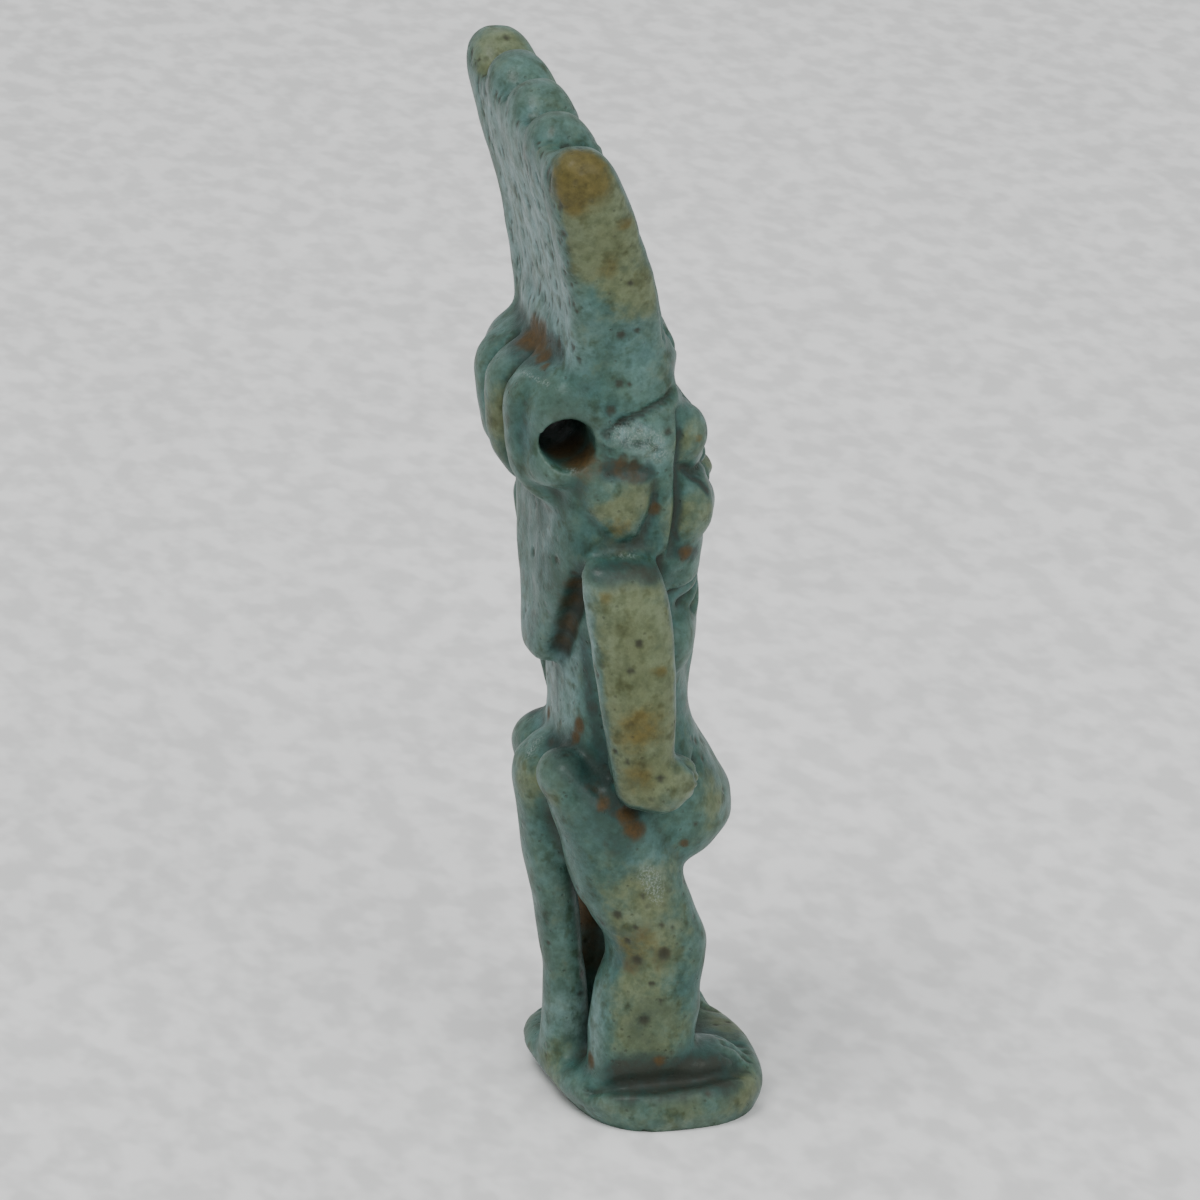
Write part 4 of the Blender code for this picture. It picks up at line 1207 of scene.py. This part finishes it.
def worn_faience():
    """Turquoise glaze that has clouded, worn to olive and ochre, and taken up earth, with painted shade
    in its hollows, painted highlights on its edges and painted glints.
    """
    nodes = Nodes("worn_faience")
    cloud = nodes.noise(3.2 * MM, 4)
    blotch = nodes.noise(1.1 * MM, 6, 0.65)
    mottle = nodes.noise(0.5 * MM, 4, 0.6)
    grain = nodes.noise(0.22 * MM, 3, 0.7)
    dust = nodes.noise(0.09 * MM, 2, 0.7)

    colour = nodes.mix(nodes.ramp(cloud, 0.3, 0.7), DEEP_TEAL, TURQUOISE)
    colour = nodes.mix(nodes.ramp(blotch, 0.4, 0.75, 0.0, 0.4), colour, SEA_GREEN)
    # powdery pale glaze, partly painted light on faces that the light falls on
    powder_and_light = nodes.attribute("powder_and_light")
    chalk_and_light = nodes.math("MULTIPLY", powder_and_light, nodes.ramp(mottle, 0.25, 0.6, 0.55, 1.0))
    colour = nodes.mix(nodes.math("MULTIPLY", chalk_and_light, 0.85), colour, PALE_BLUE)

    coarse = nodes.ramp(blotch, 0.2, 0.8, -0.25, 0.25)
    ragged = nodes.math("ADD", coarse, nodes.ramp(mottle, 0.2, 0.8, -0.12, 0.12))
    olive = nodes.attribute("olive")
    olive_share = nodes.ramp(nodes.math("ADD", olive, ragged), 0.0, 0.9, 0.0, 0.92)
    colour = nodes.mix(olive_share, colour, OLIVE)
    # painted highlight: convex edges turn pale grey, as grazing light makes them
    edge = nodes.attribute("edge")
    colour = nodes.mix(nodes.math("MULTIPLY", edge, 0.42), colour, RIM_HIGHLIGHT_GREY)
    ochre = nodes.math("ADD", nodes.attribute("ochre"), ragged)
    colour = nodes.mix(nodes.ramp(ochre, 0.1, 1.0, 0.0, 0.9), colour, OCHRE)

    colour = nodes.tint(nodes.ramp(mottle, 0.3, 0.7), colour, (0.76, 0.77, 0.72, 1), (1.2, 1.19, 1.22, 1))
    patch = nodes.ramp(nodes.noise(1.7 * MM, 5, 0.7), 0.3, 0.7)
    colour = nodes.tint(patch, colour, (0.86, 0.84, 0.76, 1), (1.08, 1.1, 1.12, 1))
    stain = nodes.ramp(nodes.noise(0.75 * MM, 3, 0.55), 0.53, 0.72)
    colour = nodes.mix(stain, colour, nodes.mix(1.0, colour, (0.62, 0.6, 0.48, 1), "MULTIPLY"))
    colour = nodes.tint(nodes.ramp(grain, 0.25, 0.75), colour, (0.88, 0.88, 0.88, 1), (1.1, 1.1, 1.1, 1))

    # painted shade mixed with dirt: broad hollows and fine creases are darkened where shade falls
    hollow = nodes.attribute("hollow")
    soot_and_shade = nodes.math("MULTIPLY", hollow, nodes.ramp(blotch, 0.3, 0.6, 0.6, 1.0))
    colour = nodes.mix(nodes.ramp(soot_and_shade, 0.06, 0.75, 0.0, 0.85), colour, DARK_DIRT_AND_SHADE)
    crease = nodes.attribute("crease")
    colour = nodes.mix(nodes.math("MULTIPLY", crease, 0.5), colour, DARK_DIRT_AND_SHADE)
    # dark grime and painted shade, such as the arm's shadow on the torso
    coarse = nodes.ramp(blotch, 0.3, 0.7, -0.22, 0.14)
    patchy = nodes.math("ADD", coarse, nodes.ramp(mottle, 0.3, 0.7, -0.12, 0.08))
    grime_and_shade = nodes.math("ADD", nodes.attribute("grime_and_shade"), patchy)
    colour = nodes.mix(nodes.ramp(grime_and_shade, 0.02, 0.7, 0.0, 0.75), colour, DARK_GREEN)
    colour = nodes.mix(nodes.ramp(grime_and_shade, 0.4, 1.0, 0.0, 0.88), colour, DARK_DIRT_AND_SHADE)
    earth = nodes.math("ADD", nodes.attribute("earth"), nodes.ramp(mottle, 0.25, 0.75, -0.15, 0.15))
    colour = nodes.mix(nodes.ramp(earth, 0.0, 0.6, 0.0, 0.65), colour, DARK_EARTH)
    brown = nodes.mix(nodes.ramp(grain, 0.25, 0.7), DARK_EARTH, EARTH)
    earth_share = nodes.ramp(earth, 0.15, 1.0, 0.0, 0.95)
    colour = nodes.mix(earth_share, colour, brown)

    fleck = nodes.ramp(nodes.cells(0.75 * MM), 0.05, 0.25, 1.0, 0.0)
    fleck = nodes.math("MULTIPLY", fleck, nodes.ramp(nodes.noise(1.4 * MM, 2), 0.46, 0.6))
    speck = nodes.ramp(nodes.cells(0.38 * MM), 0.05, 0.24, 1.0, 0.0)
    speck = nodes.math("MULTIPLY", speck, nodes.ramp(nodes.noise(0.8 * MM, 2), 0.46, 0.6))
    sparse = nodes.math("MAXIMUM", fleck, speck)
    pitting = nodes.ramp(nodes.attribute("pitting"), 0.15, 0.95)
    dark = nodes.math("MAXIMUM", pitting, nodes.math("MULTIPLY", sparse, 0.5))
    colour = nodes.mix(nodes.math("MULTIPLY", dark, 0.75), colour, PIT_DARK)
    # painted glints: small white specular highlights
    glint = nodes.math("MULTIPLY", nodes.attribute("glint_highlight"), nodes.ramp(dust, 0.45, 0.65))
    colour = nodes.mix(nodes.math("MULTIPLY", glint, 0.36), colour, GLINT_WHITE)
    nodes.put(nodes.shader.inputs["Base Color"], colour)

    rough = nodes.ramp(blotch, 0.3, 0.7, 0.37, 0.55)
    rough = nodes.math("ADD", rough, nodes.math("MULTIPLY", olive_share, 0.06))
    rough = nodes.math("ADD", rough, nodes.math("MULTIPLY", earth_share, 0.3))
    rough = nodes.math("ADD", rough, nodes.math("MULTIPLY", soot_and_shade, 0.3))
    nodes.put(nodes.shader.inputs["Roughness"], rough)
    nodes.shader.inputs["Specular IOR Level"].default_value = GLAZE_SPECULAR
    nodes.shader.inputs["Coat Weight"].default_value = GLAZE_COAT
    nodes.shader.inputs["Coat Roughness"].default_value = COAT_ROUGHNESS

    relief = nodes.bump(mottle, 0.05 * MM, 0.5)
    relief = nodes.bump(grain, 0.04 * MM, 0.5, relief)
    relief = nodes.bump(dust, 0.015 * MM, 0.4, relief)
    relief = nodes.bump(nodes.math("MULTIPLY", sparse, -1.0), 0.05 * MM, 0.7, relief)
    nodes.put(nodes.shader.inputs["Normal"], relief)
    return nodes.material


# The camera looks at the figure's right side from a little behind, and down on it
CAMERA_AZIMUTH = -104.0
CAMERA_ELEVATION = 20.5
CAMERA_DISTANCE = 0.3
CAMERA_TARGET = Vector((0.36, 1.74, 20.92)) * MM
LENS = 225
SENSOR_WIDTH = 36
CLIP_START = 0.01
CLIP_END = 10

# Each lamp's azimuth, elevation, distance, size and power
KEY_LAMP = (-150, 66, 0.6, 0.22, 1.75)
FILL_LAMP = (-75, 38, 0.7, 0.5, 2.4)
SKY = (0.97, 0.985, 1.0, 1)
SKY_STRENGTH = 0.7
FLOOR_SIZE = 4
DARK_CLOTH = (0.72, 0.72, 0.712, 1)
PALE_CLOTH = (0.885, 0.885, 0.877, 1)
CLOTH_ROUGHNESS = 0.9


def direction(azimuth, elevation):
    """The way from the figure to a place round it. Azimuth 0 is in front of it."""
    turn, rise = math.radians(azimuth), math.radians(elevation)
    return Vector((math.sin(turn) * math.cos(rise), -math.cos(turn) * math.cos(rise), math.sin(rise)))


def aim(obj, azimuth, elevation, distance, target):
    """Places an object round a target and turns it to look at it."""
    back = direction(azimuth, elevation)
    obj.location = target + back * distance
    obj.rotation_mode = "QUATERNION"
    obj.rotation_quaternion = (-back).to_track_quat("-Z", "Y")


def add_camera():
    """The photograph's view."""
    camera = bpy.data.objects.new("camera", bpy.data.cameras.new("camera"))
    camera.data.lens = LENS
    camera.data.sensor_width = SENSOR_WIDTH
    camera.data.clip_start = CLIP_START
    camera.data.clip_end = CLIP_END
    bpy.context.scene.collection.objects.link(camera)
    aim(camera, CAMERA_AZIMUTH, CAMERA_ELEVATION, CAMERA_DISTANCE, CAMERA_TARGET)
    bpy.context.scene.camera = camera


def add_light(name, azimuth, elevation, distance, size, power):
    """A soft square lamp that looks at the figure."""
    lamp = bpy.data.lights.new(name, "AREA")
    lamp.shape = "SQUARE"
    lamp.size = size
    lamp.energy = power
    obj = bpy.data.objects.new(name, lamp)
    bpy.context.scene.collection.objects.link(obj)
    aim(obj, azimuth, elevation, distance, CAMERA_TARGET)


def add_stage():
    """A pale mottled cloth to stand on, and soft light from behind the figure and above."""
    bpy.ops.mesh.primitive_plane_add(size=FLOOR_SIZE)
    floor = bpy.context.object
    floor.name = "floor"
    nodes = Nodes("pale_cloth")
    weave = nodes.noise(1.6 * MM, 2, 0.5, stretch=(0.6, 1.0, 1.0))
    fold = nodes.noise(9 * MM, 2, 0.5)
    colour = nodes.mix(nodes.ramp(weave, 0.35, 0.65), DARK_CLOTH, PALE_CLOTH)
    colour = nodes.tint(nodes.ramp(fold, 0.3, 0.7), colour, (0.97, 0.97, 0.97, 1), (1.03, 1.03, 1.03, 1))
    nodes.put(nodes.shader.inputs["Base Color"], colour)
    nodes.shader.inputs["Roughness"].default_value = CLOTH_ROUGHNESS
    floor.data.materials.append(nodes.material)
    world = bpy.data.worlds.new("studio")
    bpy.context.scene.world = world
    world.use_nodes = True
    background = world.node_tree.nodes["Background"]
    background.inputs["Color"].default_value = SKY
    background.inputs["Strength"].default_value = SKY_STRENGTH
    add_light("key", *KEY_LAMP)
    add_light("fill", *FILL_LAMP)


def add_figure():
    """Models the figure as its solid is modelled, and then finer."""
    parts = bpy.data.collections.new("looks")
    bpy.context.scene.collection.children.link(parts)
    clay = bmesh.new()
    add_base(clay)
    add_legs(clay)
    add_tail(clay)
    add_body(clay)
    add_arms(clay)
    add_back_mane(clay)
    add_head(clay)
    add_face(clay)
    add_beard(clay)
    add_crown(clay)
    add_loop(clay)
    figure = mesh_object("bes_surface", clay, parts)
    remesh(figure, ROUGH_VOXEL)
    cutter = hole_cutter(parts)
    cut(figure, cutter)
    bpy.data.objects.remove(cutter)
    remesh(figure, FINE_VOXEL)
    soften(figure, SOFTENING_PASSES * 2)
    skin = FineSkin(figure)
    round_rim(skin)
    carve_crown(skin)
    carve_head_sides(skin)
    carve_edges(skin)
    carve_face(skin)
    carve_body(skin)
    carve_fine(skin)
    skin.finish()
    soften(figure, GLAZING_PASSES)
    cut_underside(figure)
    decimate(figure, MOST_TRIANGLES)
    press_flat(figure)
    skin = FineSkin(figure)
    roughen(skin)
    skin.points = np.clip(skin.points, np.array(cad_low), np.array(cad_high))
    skin.finish()
    weather_of(figure, skin.pitting)
    figure.data.materials.clear()
    figure.data.materials.append(worn_faience())
    figure.data.shade_smooth()
    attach(figure, "root")
    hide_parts("bes_figurine")


def weather_of(figure, pitting):
    """Reads the finished surface again and stores its weathering."""
    skin = FineSkin(figure)
    skin.pitting = pitting
    weather(skin)


add_camera()
add_stage()
add_figure()
